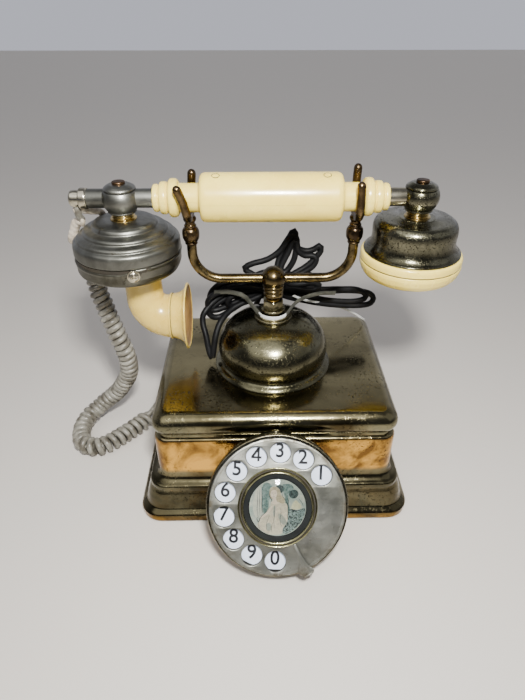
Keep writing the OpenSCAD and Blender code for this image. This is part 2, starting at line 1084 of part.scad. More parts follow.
// Outlines of the cups as [radius, height from the handset's axis]
transmitter_outside = [[0, -11.3], [12, -11.5], [16.5, -12.3], [18.2, -13.2], [18.6, -14.2],
    [19.6, -14.7], [22.6, -15.1], [23.8, -16], [24, -17.6], [25, -18.2], [27, -18.8],
    [27.8, -19.8], [27.9, -21], [29, -21.4], [30.2, -22.4], [30.6, -24], [30.6, -29.4]];
transmitter_inside = [[29.2, -29.4], [29.2, -24], [26.6, -22.6], [26.4, -20.6], [22.6, -19.4],
    [22.4, -17], [17.2, -16], [16.8, -14.4], [11.8, -12.9], [0, -12.7]];

module transmitter_cup() {
    color("slategray")
    translate([handset_x - cup_x, 0, handset_z]) {
        rotate_extrude() {
            polygon(concat(transmitter_outside, transmitter_inside));
        }
    }
}

module microphone() {
    color("dimgray")
    translate([handset_x - cup_x, 0, handset_z]) {
        ring(22, 0.5, -27.5, -20.4);
    }
}

band_top = -29.7;
band_bottom = -41.2;
clamp_screw_turn = -75;
clamp_screw_z = -33;

// Lower ring of the transmitter, which is split at the front and turns with the horn
module clamp_band() {
    color("slategray")
    translate([handset_x - cup_x, 0, handset_z]) {
        difference() {
            rotate_extrude() {
                polygon([[30.7, band_top], [30.9, band_top - 0.6], [30.4, band_top - 1.6],
                    [30.3, band_top - 6], [29.2, band_bottom + 2.4], [27.6, band_bottom],
                    [5, band_bottom], [5, band_bottom + 1.4], [26.8, band_bottom + 1.4],
                    [28, band_bottom + 3], [28.9, band_top - 6], [28.9, band_top]]);
            }
            translate([horn_x, 0, band_bottom - 1]) {
                cylinder(r = 9, h = 4);
            }
            rotate([0, 0, -68]) {
                translate([24, -0.5, band_top - 8.4]) {
                    cube([10, 1, 10]);
                }
            }
            rotate([0, 0, clamp_screw_turn]) {
                translate([26, 0, clamp_screw_z]) {
                    along_x() {
                        cylinder(r = 1.7, h = 8);
                    }
                }
            }
        }
    }
}

module clamp_screw() {
    color("lightgray")
    translate([handset_x - cup_x, 0, handset_z + clamp_screw_z]) {
        rotate([0, 0, clamp_screw_turn]) {
            translate([30.95, 0, 0]) {
                along_x() {
                    difference() {
                        union() {
                            translate([0, 0, -3.4]) {
                                cylinder(r = 1.5, h = 3.5);
                            }
                            cylinder(r = 3.4, h = 1.2);
                            translate([0, 0, 1.2]) {
                                cylinder(r = 2.6, h = 0.8);
                            }
                        }
                        translate([0, 0, 2]) {
                            cube([4, 0.7, 1.2], center = true);
                            cube([0.7, 4, 1.2], center = true);
                        }
                    }
                }
            }
        }
    }
}

horn_x = 5.9; // the horn's neck is off the cup's axis, towards the mouth
elbow_r = 15;
elbow_z = band_bottom - 19.2;
mouth_out = 11;

horn_path = concat(
    [[horn_x, 0, band_bottom], [horn_x, 0, band_bottom - 10]],
    [for (a = [0 : 15 : 90]) [horn_x + elbow_r * (1 - cos(a)), 0, elbow_z - elbow_r * sin(a)]],
    [for (x = [0.4, 4, 7, 9, 10.2, mouth_out]) [horn_x + elbow_r + x, 0, elbow_z - elbow_r]]);
horn_radii = concat([11, 11], [for (a = [0 : 15 : 90]) 11.2 + 2.8 * a / 90], [14.3, 14.7, 15.8, 17.6, 19.6, 20.9]);

module mouth_horn() {
    inner = concat([horn_path[0] + [0, 0, 0.5]], [for (i = [1 : len(horn_path) - 2]) horn_path[i]],
        [horn_path[len(horn_path) - 1] + [0.5, 0, 0]]);
    color("wheat")
    translate([handset_x - cup_x, 0, handset_z]) {
        difference() {
            sweep(horn_path, horn_radii, 24);
            sweep(inner, [for (r = horn_radii) r - 1.9], 24);
        }
    }
}

module receiver_cup() {
    color("silver")
    translate([handset_x + cup_x, 0, handset_z]) {
        rotate_extrude() {
            polygon([[0, -11.3], [10, -11.3], [10.6, -11.7], [18.4, -11.8], [21, -12.2], [22.8, -13.4],
                [23.8, -15.4], [24.1, -18], [23.9, -23], [24.2, -26], [25.4, -28.8], [27.3, -30.4],
                [27.9, -31], [27.9, -31.8], [25.9, -31.8], [24, -29.8], [22.8, -26.4], [22.4, -23],
                [22.7, -18], [21.6, -14.6], [18.4, -13.2], [0, -12.7]]);
        }
    }
}

module receiver_cap() {
    color("wheat")
    translate([handset_x + cup_x, 0, handset_z]) {
        difference() {
            rotate_extrude() {
                polygon([[26.2, -31.8], [29, -31.8], [29.5, -33], [29.6, -36.2], [29.2, -36.5],
                    [29.2, -36.9], [29.6, -37.2], [29.2, -40.6], [27.8, -43.8], [25, -46.4], [22, -47],
                    [19, -46.6], [10, -44.2], [0.01, -43.4], [0.01, -41.2], [10, -42], [18, -43.6], [24, -43.8],
                    [26.6, -40], [27, -36]]);
            }
            for (a = [0 : 60 : 300]) {
                rotate([0, 0, a]) {
                    translate([5.5, 0, -50]) {
                        cylinder(r = 1.3, h = 12);
                    }
                }
            }
        }
    }
}

module earpiece() {
    color("dimgray")
    translate([handset_x + cup_x, 0, handset_z]) {
        ring(20, 0.5, -40.6, -30);
    }
}

// ---- cords ----
module cord_grommets() {
    color("#202020")
    union() {
        translate([-base_w / 2 + 1.1, 30, 14]) {
            along_x() {
                ring(4.8, lead_r + 0.4, 0, 2.2);
                ring(3.4, lead_r + 0.4, 2.2, 6.7);
            }
        }
        translate([30, base_d / 2 - 1.1, 14]) {
            rotate([90, 0, 0]) {
                ring(4.8, cord_r + 0.6, 0, 2.2);
                ring(3.4, cord_r + 0.4, 2.2, 6.7);
            }
        }
    }
}

// Thickness of the curly cord's turns at point i of its smoothed route
function curl_radius(i, count) = i == 0 || i == count - 1 ? 3.4 : curl_r - 1.2 * i / count;

module handset_cord() {
    curl = smooth(curl_route, 2);
    lead_in = smooth(lead_in_route, 2);
    lead_out = smooth(lead_out_route, 2);
    color("#c8bfb4")
    union() {
        sweep(concat(lead_in, curl, lead_out), concat(
            [for (p = lead_in) lead_r],
            [for (i = [0 : len(curl) - 1]) curl_radius(i, len(curl))],
            [for (i = [0 : len(lead_out) - 1]) i < len(lead_out) - 6 ? 2.3 : lead_r]), 10);
        tube_along(smooth(cup_lead_route, 2), lead_r, 10);
    }
}

// Flat loop of cord with round ends, from a to b in the XZ plane
module flat_loop(a, b, y, r, thick) {
    d = b - a;
    translate([0, y + thick / 2, 0]) {
        rotate([90, 0, 0]) {
            linear_extrude(thick) {
                translate(a) {
                    rotate([0, 0, atan2(d[1], d[0])]) {
                        translate([0, -r]) {
                            square([norm(d), 2 * r]);
                        }
                        circle(r = r);
                        translate([norm(d), 0]) {
                            circle(r = r);
                        }
                    }
                }
            }
        }
    }
}

// The wound part of the line cord: a bundle behind the column and the loops that stand out of it
module line_cord() {
    color("#282828")
    union() {
        tube_along(smooth(line_lead_route, 2), cord_r, 8);
        tube_along(smooth(plug_lead_route, 2), cord_r, 8);
        tube_along(smooth(droop_route, 2), cord_r, 8);
        sweep(bundle_route, bundle_radii, 12);
        flat_loop([20, 110.5], [64.5, 103.6], 32, 7, 5);
        flat_loop([3, 124], [12, 151.5], 29, 4, 5);
        flat_loop([12, 124], [28, 141.5], 28, 4.2, 5);
    }
}

// Flat tie round the column, between the dome's washers and the nut's washer, with its two
// ends lying over the hank
tie_left_route = [[-8, 0, 113.3], [-13, 5, 114], [-18.3, 10, 117.6], [-27.4, 12.6, 119.2],
    [-36.4, 13.6, 118.7]];
tie_right_route = [[8, 0, 113.3], [13, 4, 114], [17.6, 8, 116], [23.1, 11.6, 116.4],
    [31.1, 14.4, 116.8], [40.6, 17, 115.6]];

module cord_tie() {
    color("lightgray")
    union() {
        ring(9.8, bush_r, washer_top, nut_washer_z);
        tube_along(smooth(tie_left_route, 2), 0.9, 8);
        tube_along(smooth(tie_right_route, 2), 0.9, 8);
    }
}

module line_plug() {
    color("#303030")
    union() {
        translate([-76, 83, 0.2]) {
            cube([28, 22, 12]);
        }
        translate([-48, 94, 6]) {
            along_x() {
                cylinder(r = 4, h = 6);
            }
        }
        for (y = [88, 94, 100]) {
            translate([-82, y - 1.5, 5]) {
                cube([6, 3, 1.2]);
            }
        }
    }
}

base_shell();
base_plate();
base_pad();
base_screws();
corner_posts();
dome_cover();
washers();
column_bush();
lock_nut();
hook_bracket();
hook_spring();
hook_switch();
ringer_frame();
ringer_coils();
gong_posts();
gongs();
clapper();
terminal_block();
wire_loom();
dial_neck();
dial_case();
dial_clamp_screw();
dial_backplate();
number_plate();
finger_stop();
spring_barrel();
impulse_contacts();
finger_wheel();
dial_bezel();
dial_gasket();
dial_picture();
dial_lens();
dial_shaft();
dial_gear();
governor();
cradle_column();
cradle_rod();
forks();
grip_upper();
grip_lower();
grip_screws();
handset_tube();
tube_end_cap();
ball_joints();
ball_screws();
cup_stems();
transmitter_cup();
microphone();
receiver_cup();
receiver_cap();
earpiece();
clamp_band();
clamp_screw();
mouth_horn();
cord_grommets();
handset_cord();
line_cord();
cord_tie();
line_plug();
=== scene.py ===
import math
import random

import bmesh
import bpy
from mathutils import Matrix, Vector


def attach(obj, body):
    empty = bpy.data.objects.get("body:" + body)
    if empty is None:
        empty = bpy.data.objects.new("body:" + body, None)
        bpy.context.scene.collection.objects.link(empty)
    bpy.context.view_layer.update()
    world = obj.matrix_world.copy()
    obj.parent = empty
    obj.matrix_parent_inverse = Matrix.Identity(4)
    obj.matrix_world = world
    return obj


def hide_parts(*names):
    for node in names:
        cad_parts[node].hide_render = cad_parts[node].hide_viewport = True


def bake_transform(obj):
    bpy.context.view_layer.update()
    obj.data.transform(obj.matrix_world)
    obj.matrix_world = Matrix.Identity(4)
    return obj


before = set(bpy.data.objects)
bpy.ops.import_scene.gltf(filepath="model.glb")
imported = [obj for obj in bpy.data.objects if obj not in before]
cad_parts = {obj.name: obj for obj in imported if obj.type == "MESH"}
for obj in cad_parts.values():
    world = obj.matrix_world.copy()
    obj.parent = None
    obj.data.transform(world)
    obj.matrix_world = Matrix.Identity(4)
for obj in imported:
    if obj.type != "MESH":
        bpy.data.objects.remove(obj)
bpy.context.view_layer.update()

MM = 0.001

# ---------------------------------------------------------------- sizes, in millimetres
BASE_W, BASE_D, BASE_H = 172.0, 144.0, 76.0
CORNER_R = 14.0
BULLNOSE_R = 8.25
DOME_H = 34.2
DOME_TOP = BASE_H + DOME_H
HANDSET = Vector((-1.8, 0.0, 185.8))
CUP_X = 83.0
FORK_X = 46.5
FORK_LEFT = 47.8
ROD_Z = 136.3
ROD_R = 2.9
KNOB_R = 7.5
BEND_R = 17.0
COLLAR_Z = ROD_Z + 28.7
PRONG_R = 2.4
SADDLE_R = 10.6
TUBE_R = 5.2
TUBE_LEFT, TUBE_RIGHT = -103.0, 88.0
GRIP_R, GRIP_END, NECK_R, NECK_END = 13.4, 39.2, 7.9, 51.0
BAND_TOP, BAND_BOTTOM = -29.7, -41.2
HORN_X = 5.9
ELBOW_R = 15.0
ELBOW_Z = BAND_BOTTOM - 19.2
DIAL_C = Vector((0.0, -96.0, 43.0))
DIAL_TILT = 35.0
WHEEL_R = 38.0
HOLE_R = 6.0
HOLE_PITCH_R = 0.797 * WHEEL_R
FIRST_HOLE, HOLE_STEP = 34.6, 25.83
STOP_ANGLE = -66.0
CASE_R, CASE_FRONT, CASE_BACK = 40.3, -2.6, -13.0
PLATE_FRONT = -3.6
PLATE_R = 36.1
BEZEL_R, GASKET_R, PICTURE_R = 22.3, 19.3, 15.8


def shift(x, y, z):
    return Matrix.Translation((x, y, z))


def spin(degrees, axis):
    return Matrix.Rotation(math.radians(degrees), 4, axis)


def cosd(degrees):
    return math.cos(math.radians(degrees))


def sind(degrees):
    return math.sin(math.radians(degrees))


# ---------------------------------------------------------------- places
AT_DIAL = shift(*DIAL_C) @ spin(90 - DIAL_TILT, "X")
ALONG_X = spin(90, "Y")
AT_HANDSET = shift(*HANDSET) @ ALONG_X
AT_LEFT = shift(*HANDSET) @ shift(-CUP_X, 0, 0)
AT_RIGHT = shift(*HANDSET) @ shift(CUP_X, 0, 0)


# ---------------------------------------------------------------- shapes
def rounded(points, radius, steps=3, closed=True):
    """points with each corner rounded; a point on the axis stays."""
    out = []
    n = len(points)
    for i, p in enumerate(points):
        if abs(p[0]) < 1e-9 or (not closed and i in (0, n - 1)):
            out.append(tuple(p))
            continue
        a, b, c = Vector(points[i - 1]), Vector(p), Vector(points[(i + 1) % n])
        u, v = a - b, c - b
        r = min(radius, 0.45 * u.length, 0.45 * v.length)
        p0, p1 = b + u.normalized() * r, b + v.normalized() * r
        for k in range(steps + 1):
            t = k / steps
            q = p0 * (1 - t) ** 2 + b * (2 * t * (1 - t)) + p1 * t * t
            out.append((q.x, q.y))
    return out


def spline(points, n, closed=False):
    """Catmull-Rom curve through points, n steps between each pair."""
    p = [Vector(q) for q in points]
    m = len(p)
    out = []
    for i in range(m if closed else m - 1):
        a = p[i - 1] if closed or i else p[0] * 2 - p[1]
        b, c = p[i], p[(i + 1) % m]
        d = p[(i + 2) % m] if closed or i + 2 < m else p[-1] * 2 - p[-2]
        for k in range(n):
            t = k / n
            out.append(
                0.5
                * (
                    2 * b
                    + (c - a) * t
                    + (2 * a - 5 * b + 4 * c - d) * t * t
                    + (3 * b - a - 3 * c + d) * t**3
                )
            )
    if not closed:
        out.append(p[-1])
    return out


def spaced(points, step):
    """points set evenly along the line, about step apart."""
    p = [Vector(q) for q in points]
    at = [0.0]
    for a, b in zip(p, p[1:]):
        at.append(at[-1] + (b - a).length)
    count = max(2, round(at[-1] / step))
    out, j = [], 0
    for i in range(count + 1):
        s = at[-1] * i / count
        while j < len(p) - 2 and at[j + 1] < s:
            j += 1
        t = (s - at[j]) / max(at[j + 1] - at[j], 1e-9)
        out.append(p[j].lerp(p[j + 1], min(1, t)))
    return out


def frames(points):
    """For each point of a line: its heading and two side axes that don't twist."""
    out = []
    side = None
    n = len(points)
    for i in range(n):
        t = (points[min(i + 1, n - 1)] - points[max(i - 1, 0)]).normalized()
        if side is None:
            side = Vector((0, 0, 1)) if abs(t.z) < 0.9 else Vector((1, 0, 0))
        side = (side - t * side.dot(t)).normalized()
        out.append((t, side.copy(), t.cross(side)))
    return out


def tube(points, radii, sides=12, flat=1.0):
    """Closed mesh tube along points."""
    if not hasattr(radii, "__len__"):
        radii = [radii] * len(points)
    along = zip(points, radii, frames(points))
    return loft([hoop(p, u, v, r, sides, flat) for p, r, (t, u, v) in along])


def lathe(profile, steps=96, wobble=None):
    """Closed outline [(r, z)] turned about Z. wobble(angle, r, z) may move a point."""
    verts, faces = [], []
    m = len(profile)
    for i in range(steps):
        a = 2 * math.pi * i / steps
        for r, z in profile:
            if wobble:
                r, z = wobble(a, r, z)
            verts.append((r * math.cos(a), r * math.sin(a), z))
    for i in range(steps):
        j = (i + 1) % steps
        for k in range(m):
            nxt = (k + 1) % m
            faces.append((i * m + k, j * m + k, j * m + nxt, i * m + nxt))
    return verts, faces


def loft(rings):
    """Closed mesh through rings of equal length; both ends capped."""
    n = len(rings[0])
    verts = [v for r in rings for v in r]
    faces = []
    for i in range(len(rings) - 1):
        for k in range(n):
            j = (k + 1) % n
            faces.append((i * n + k, i * n + j, (i + 1) * n + j, (i + 1) * n + k))
    faces.append(tuple(range(n))[::-1])
    last = (len(rings) - 1) * n
    faces.append(tuple(range(last, last + n)))
    return verts, faces


def joined(*meshes):
    verts, faces = [], []
    for v, f in meshes:
        faces += [tuple(i + len(verts) for i in q) for q in f]
        verts += list(v)
    return verts, faces


def moved(mesh, matrix):
    return [matrix @ Vector(v) for v in mesh[0]], mesh[1]


def into_scene(name, data):
    obj = bpy.data.objects.new(name, data)
    bpy.context.scene.collection.objects.link(obj)
    return obj


def new_data(name, verts, faces, reach):
    """Mesh data whose points closer than reach are made one, with its faces turned outwards."""
    data = bpy.data.meshes.new(name)
    data.from_pydata(verts, [], faces)
    b = bmesh.new()
    b.from_mesh(data)
    bmesh.ops.remove_doubles(b, verts=b.verts, dist=reach)
    bmesh.ops.dissolve_degenerate(b, edges=b.edges, dist=reach)
    bmesh.ops.recalc_face_normals(b, faces=b.faces)
    b.to_mesh(data)
    b.free()
    return data


def piece(name, mesh, material, body, nodes=(), matrix=Matrix(), angle=35):
    """Makes an object of a mesh in millimetres, sets its material and ties it to the CAD frame."""
    verts = [(matrix @ Vector(v)) * MM for v in mesh[0]]
    data = new_data(name, verts, mesh[1], 1e-7)
    for poly in data.polygons:
        poly.use_smooth = True
    data.set_sharp_from_angle(angle=math.radians(angle))
    obj = into_scene(name, data)
    data.materials.clear()
    data.materials.append(material)
    if body:
        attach(obj, body)
    if nodes:
        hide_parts(*nodes)
    return obj


def flat_curve(outlines, fill_mode):
    """2-D curve of closed outlines in XY."""
    curve = bpy.data.curves.new("outline", "CURVE")
    curve.dimensions = "2D"
    curve.fill_mode = fill_mode
    for points in outlines:
        s = curve.splines.new("POLY")
        s.points.add(len(points) - 1)
        for q, p in zip(s.points, points):
            q.co = (p[0], p[1], 0, 1)
        s.use_cyclic_u = True
    return curve


def outline_mesh(outlines, thick, bevel):
    """Flat plate with its middle at z 0: the first outline is the outer one, the rest are holes."""
    curve = flat_curve(outlines, "BOTH")
    curve.extrude = thick / 2 - bevel
    curve.bevel_depth = bevel
    curve.bevel_resolution = 2
    return curve_mesh(curve)


def evaluated(obj):
    """Points and faces of a curve or of a mesh with modifiers."""
    bpy.context.view_layer.update()
    graph = bpy.context.evaluated_depsgraph_get()
    data = bpy.data.meshes.new_from_object(obj.evaluated_get(graph))
    verts = [v.co.copy() for v in data.vertices]
    faces = [tuple(p.vertices) for p in data.polygons]
    bpy.data.meshes.remove(data)
    return verts, faces


def curve_mesh(curve):
    obj = into_scene("curve", curve)
    mesh = evaluated(obj)
    bpy.data.objects.remove(obj)
    bpy.data.curves.remove(curve)
    return mesh


def circle(r, n=64, x=0.0, y=0.0, start=0.0):
    turns = [start + 2 * math.pi * i / n for i in range(n)]
    return [(x + r * math.cos(a), y + r * math.sin(a)) for a in turns]


def hoop(centre, u, v, r, sides, flat=1.0):
    """Ring of points round centre in the plane of u and v."""
    return [centre + u * x + v * (y * flat) for x, y in circle(r, sides)]


def arc(r, z, degrees):
    """Points [(r, z)] of a circle round height z on the axis, at each of the angles."""
    return [(r * cosd(a), z + r * sind(a)) for a in degrees]


def band(inner, outer, low, high):
    """Outline of a plain ring for lathe, between two radii and two heights."""
    return [(inner, low), (outer, low), (outer, high), (inner, high)]


def slotted_head(r, h, slot_w, slot_d, dome=0.15, cross=False, n=48):
    """Screw head with a milled slot, standing on z 0."""
    outline = [(0, -0.4), (r, -0.4), (r, h * 0.75), (r * 0.8, h), (0, h + dome)]
    verts, faces = lathe(rounded(outline, 0.25 * h, 3), n)
    head = into_scene("head", new_data("head", [Vector(v) for v in verts], faces, 1e-5))
    cutters = []
    for turn in (0, 90) if cross else (0,):
        bpy.ops.mesh.primitive_cube_add(size=1)
        cutter = bpy.context.object
        cutter.dimensions = ((1.3 if cross else 2.6) * r, slot_w, 2 * slot_d)
        cutter.location = (0, 0, h + dome * 0.5)
        cutter.rotation_euler = (0, 0, math.radians(turn))
        cutters.append(cutter)
    for cutter in cutters:
        m = head.modifiers.new("cut", "BOOLEAN")
        m.operation = "DIFFERENCE"
        m.solver = "EXACT"
        m.object = cutter
    mesh = evaluated(head)
    for obj in [head] + cutters:
        bpy.data.objects.remove(obj)
    return mesh


# ---------------------------------------------------------------- camera
CAMERA_AT = Vector((-11.9, -287.4, 281.4))
CAMERA_TILT, CAMERA_TURN = 55.42, -1.05
CAMERA_LENS = 27.05


def make_camera():
    data = bpy.data.cameras.new("camera")
    data.lens = CAMERA_LENS
    data.clip_start = 0.01
    cam = into_scene("camera", data)
    cam.location = CAMERA_AT * MM
    cam.rotation_euler = (math.radians(CAMERA_TILT), 0, math.radians(CAMERA_TURN))
    bpy.context.scene.camera = cam


make_camera()


# ---------------------------------------------------------------- materials
def srgb(r, g, b):
    def one(v):
        v /= 255
        return v / 12.92 if v <= 0.04045 else ((v + 0.055) / 1.055) ** 2.4

    return (one(r), one(g), one(b), 1.0)


class Paint:
    """Short hands for building one node material."""

    def __init__(self, name, roughness=0.5, metallic=0.0, **sockets):
        self.material = bpy.data.materials.new(name)
        self.material.use_nodes = True
        self.tree = self.material.node_tree
        self.shader = self.tree.nodes["Principled BSDF"]
        self.shader.inputs["Roughness"].default_value = roughness
        self.shader.inputs["Metallic"].default_value = metallic
        for key, value in sockets.items():
            self.shader.inputs[key.replace("_", " ")].default_value = value
        self.where = self.tree.nodes.new("ShaderNodeTexCoord").outputs["Object"]

    def node(self, kind, **props):
        n = self.tree.nodes.new("ShaderNode" + kind)
        for k, v in props.items():
            setattr(n, k, v)
        return n

    def put(self, socket, value):
        if isinstance(value, bpy.types.NodeSocket):
            self.tree.links.new(value, socket)
        else:
            socket.default_value = value

    def stretched(self, x, y, z):
        m = self.node("Mapping")
        m.inputs["Scale"].default_value = (x, y, z)
        self.put(m.inputs["Vector"], self.where)
        return m.outputs["Vector"]

    def noise(self, scale, detail=4.0, rough=0.55, distort=0.0, where=None):
        n = self.node("TexNoise")
        n.inputs["Scale"].default_value = scale
        n.inputs["Detail"].default_value = detail
        n.inputs["Roughness"].default_value = rough
        n.inputs["Distortion"].default_value = distort
        self.put(n.inputs["Vector"], where or self.where)
        return n.outputs["Fac"]

    def steps(self, fac, *stops):
        """Maps 0..1 to a number through (position, value) stops."""
        n = self.node("ValToRGB")
        ramp = n.color_ramp
        for i, (at, value) in enumerate(stops):
            e = ramp.elements[i] if i < 2 else ramp.elements.new(at)
            e.position = at
            e.color = (value, value, value, 1)
        self.put(n.inputs["Fac"], fac)
        return n.outputs["Color"]

    def blots(self, low, high, *noise):
        """Noise spread so that it is 0 up to low and 1 from high."""
        return self.steps(self.noise(*noise), (low, 0.0), (high, 1.0))

    def mix(self, fac, a, b, how="MIX"):
        n = self.node("Mix", data_type="RGBA", blend_type=how)
        self.put(n.inputs["Factor"], fac)
        self.put(n.inputs[6], a)
        self.put(n.inputs[7], b)
        return n.outputs[2]

    def math(self, how, a, b=0.0, c=0.0):
        n = self.node("Math", operation=how)
        for s, v in zip(n.inputs, (a, b, c)):
            self.put(s, v)
        return n.outputs[0]

    def colour(self, value):
        self.put(self.shader.inputs["Base Color"], value)

    def rough(self, value):
        self.put(self.shader.inputs["Roughness"], value)

    def bump(self, height, distance, strength=1.0, over=None):
        n = self.node("Bump")
        n.inputs["Strength"].default_value = strength
        n.inputs["Distance"].default_value = distance
        self.put(n.inputs["Height"], height)
        if over is not None:
            self.put(n.inputs["Normal"], over)
        self.put(self.shader.inputs["Normal"], n.outputs["Normal"])
        return n.outputs["Normal"]

    def facing_up(self, low, high):
        """0 where the surface is upright, 1 where it faces up."""
        g = self.node("NewGeometry")
        s = self.node("SeparateXYZ")
        self.put(s.inputs[0], g.outputs["Normal"])
        return self.steps(s.outputs[2], (low, 0.0), (high, 1.0))

    def from_axis(self, centre, axis):
        """Distance in metres from a line through centre along axis."""
        away = self.node("VectorMath", operation="SUBTRACT")
        self.put(away.inputs[0], self.where)
        away.inputs[1].default_value = centre
        across = self.node("VectorMath", operation="CROSS_PRODUCT")
        self.put(across.inputs[0], away.outputs["Vector"])
        across.inputs[1].default_value = axis
        length = self.node("VectorMath", operation="LENGTH")
        self.put(length.inputs[0], across.outputs["Vector"])
        return length.outputs["Value"]


def worn_brass(name, bright, dark, pits, pit_scale=700, blotch=26, rough=(0.16, 0.34), spread=0.42):
    """Plated brass: cloudy tarnish, black pits and fine scratches."""
    p = Paint(name, metallic=1.0)
    cloud = p.noise(blotch, 6, 0.62, 0.5)
    tone = p.steps(cloud, (0.36, 0.0), (0.66, 1.0))
    base = p.mix(tone, dark, bright)
    field = p.blots(spread, spread + 0.26, 60, 4, 0.6)
    grain = p.blots(0.56, 0.64, pit_scale, 3, 0.6)
    pit = p.math("MULTIPLY", p.math("MULTIPLY", grain, field), pits)
    p.colour(p.mix(pit, base, srgb(34, 30, 20)))
    smear = p.noise(90, 5, 0.6, 0.8)
    p.rough(p.math("ADD", p.steps(smear, (0.3, rough[0]), (0.75, rough[1])), p.math("MULTIPLY", pit, 0.35)))
    scratch = p.noise(260, 3, 0.5, 0.0, p.stretched(1, 7, 1))
    over = p.bump(scratch, 0.00002, 0.25)
    height = p.math("SUBTRACT", p.math("MULTIPLY", cloud, 0.2), pit)
    p.bump(height, 0.00006, 0.5, over)
    return p.material


def body_brass():
    """The base: upright walls in warm gold with cloudy patches, a painted reflection of a warm table; olive
    mouldings; the lower part darkened as painted shade; and a darker olive top, tarnish with a painted
    reflection of a dim room.
    """
    p = Paint("body_brass", metallic=1.0)
    cloud = p.noise(34, 6, 0.62, 0.9)
    # Upright walls: warm gold with cloudy patches, a painted reflection of a warm table.
    wall = p.mix(p.steps(cloud, (0.41, 0.0), (0.6, 1.0)), srgb(112, 80, 38), srgb(222, 170, 80))
    olive = p.mix(p.blots(0.4, 0.64, 24, 6, 0.6, 0.6), srgb(50, 49, 37), srgb(124, 122, 98))
    # Top: darker olive, tarnish with a painted reflection of a dim room; used where the surface faces up.
    top = p.mix(p.blots(0.35, 0.7, 16, 6, 0.6, 0.6), srgb(100, 93, 68), srgb(160, 150, 114))
    place = p.node("SeparateXYZ")
    p.put(place.inputs[0], p.where)
    level = p.math("DIVIDE", place.outputs[2], BASE_H * MM)
    # Share of the painted warm reflection at each height; olive elsewhere.
    warm_reflection_share = p.steps(level, (0.0, 0.6), (0.05, 0.5), (0.09, 0.05), (0.27, 0.12), (0.31, 0.05), (0.42, 0.1),
        (0.46, 1.0), (0.75, 1.0), (0.79, 0.05))
    # Painted shade: the lower part of the base darkened by half.
    shade = p.steps(level, (0.36, 0.5), (0.46, 1.0))
    base = p.mix(1.0, p.mix(p.facing_up(0.35, 0.9), p.mix(warm_reflection_share, olive, wall), top), shade, "MULTIPLY")
    field = p.blots(0.44, 0.64, 45, 4, 0.6)
    grain = p.blots(0.55, 0.63, 620, 3, 0.6)
    pit = p.math("MULTIPLY", grain, field)
    p.colour(p.mix(p.math("MULTIPLY", pit, 0.85), base, srgb(28, 25, 16)))
    smear = p.noise(70, 5, 0.6, 0.8)
    p.rough(p.math("ADD", p.steps(smear, (0.3, 0.1), (0.75, 0.24)), p.math("MULTIPLY", pit, 0.3)))
    over = p.bump(p.noise(22, 3, 0.5), 0.0006, 0.12)
    height = p.math("SUBTRACT", p.math("MULTIPLY", p.noise(160, 4, 0.6), 0.25), pit)
    p.bump(height, 0.00007, 0.5, over)
    return p.material


def dull_nickel(name, light, dark, rough=(0.3, 0.48), stain=srgb(70, 60, 40), stains=0.6, scratch=0.3):
    """Worn nickel plate: cloudy, with brown stains and fine scratches."""
    p = Paint(name, metallic=1.0)
    base = p.mix(p.blots(0.35, 0.7, 55, 6, 0.6, 0.4), dark, light)
    spots = p.blots(0.6, 0.7, 130, 6, 0.7, 0.6)
    p.colour(p.mix(p.math("MULTIPLY", spots, stains), base, stain))
    p.rough(p.steps(p.noise(80, 5, 0.6, 0.4), (0.3, rough[0]), (0.75, rough[1])))
    fine = p.noise(900, 2, 0.5, 0.0, p.stretched(1, 1, 0.12))
    over = p.bump(fine, 0.00002, scratch)
    p.bump(p.noise(140, 5, 0.65), 0.00005, 0.35, over)
    return p.material


def wheel_nickel():
    """The finger wheel: fine pitting, and brown grime at its rim and round the bezel."""
    p = Paint("nickel_wheel", metallic=1.0)
    base = p.mix(p.blots(0.35, 0.7, 55, 6, 0.6, 0.4), srgb(126, 127, 118), srgb(178, 179, 170))
    axis = AT_DIAL.to_3x3() @ Vector((0, 0, 1))
    out = p.math("DIVIDE", p.from_axis(DIAL_C * MM, axis), WHEEL_R * MM)
    zone = p.steps(out, (0.58, 1.0), (0.63, 0.0), (0.9, 0.0), (0.985, 1.0))
    patch = p.blots(0.42, 0.62, 120, 6, 0.7, 0.5)
    specks = p.blots(0.6, 0.68, 520, 5, 0.7, 0.4)
    dirt = p.math("MAXIMUM", p.math("MULTIPLY", zone, patch), p.math("MULTIPLY", specks, 0.6))
    p.colour(p.mix(p.math("MULTIPLY", dirt, 0.75), base, srgb(74, 62, 42)))
    p.rough(p.math("ADD", p.steps(p.noise(80, 5, 0.6, 0.4), (0.3, 0.32), (0.75, 0.46)),
        p.math("MULTIPLY", dirt, 0.2)))
    over = p.bump(p.noise(700, 3, 0.6, 0.0, p.stretched(1, 0.3, 1)), 0.00003, 0.5)
    p.bump(p.math("SUBTRACT", p.noise(140, 5, 0.65), dirt), 0.00005, 0.4, over)
    return p.material


def aged_plastic(name, light, dark, spot, rough=(0.2, 0.34), grime=0.5):
    """Ivory plastic: slight mottling, a few brown specks and handling marks."""
    p = Paint(name, Coat_Weight=0.25, Coat_Roughness=0.12, Subsurface_Weight=0.06, Subsurface_Scale=0.004)
    p.shader.inputs["Subsurface Radius"].default_value = (1.0, 0.7, 0.4)
    base = p.mix(p.blots(0.35, 0.7, 38, 5, 0.6, 0.5), dark, light)
    specks = p.blots(0.66, 0.74, 190, 5, 0.7, 0.3)
    p.colour(p.mix(p.math("MULTIPLY", specks, grime), base, spot))
    p.rough(p.steps(p.noise(110, 5, 0.6), (0.3, rough[0]), (0.75, rough[1])))
    over = p.bump(p.noise(300, 4, 0.6), 0.00004, 0.18)
    p.bump(p.noise(45, 3, 0.5), 0.0003, 0.06, over)
    return p.material


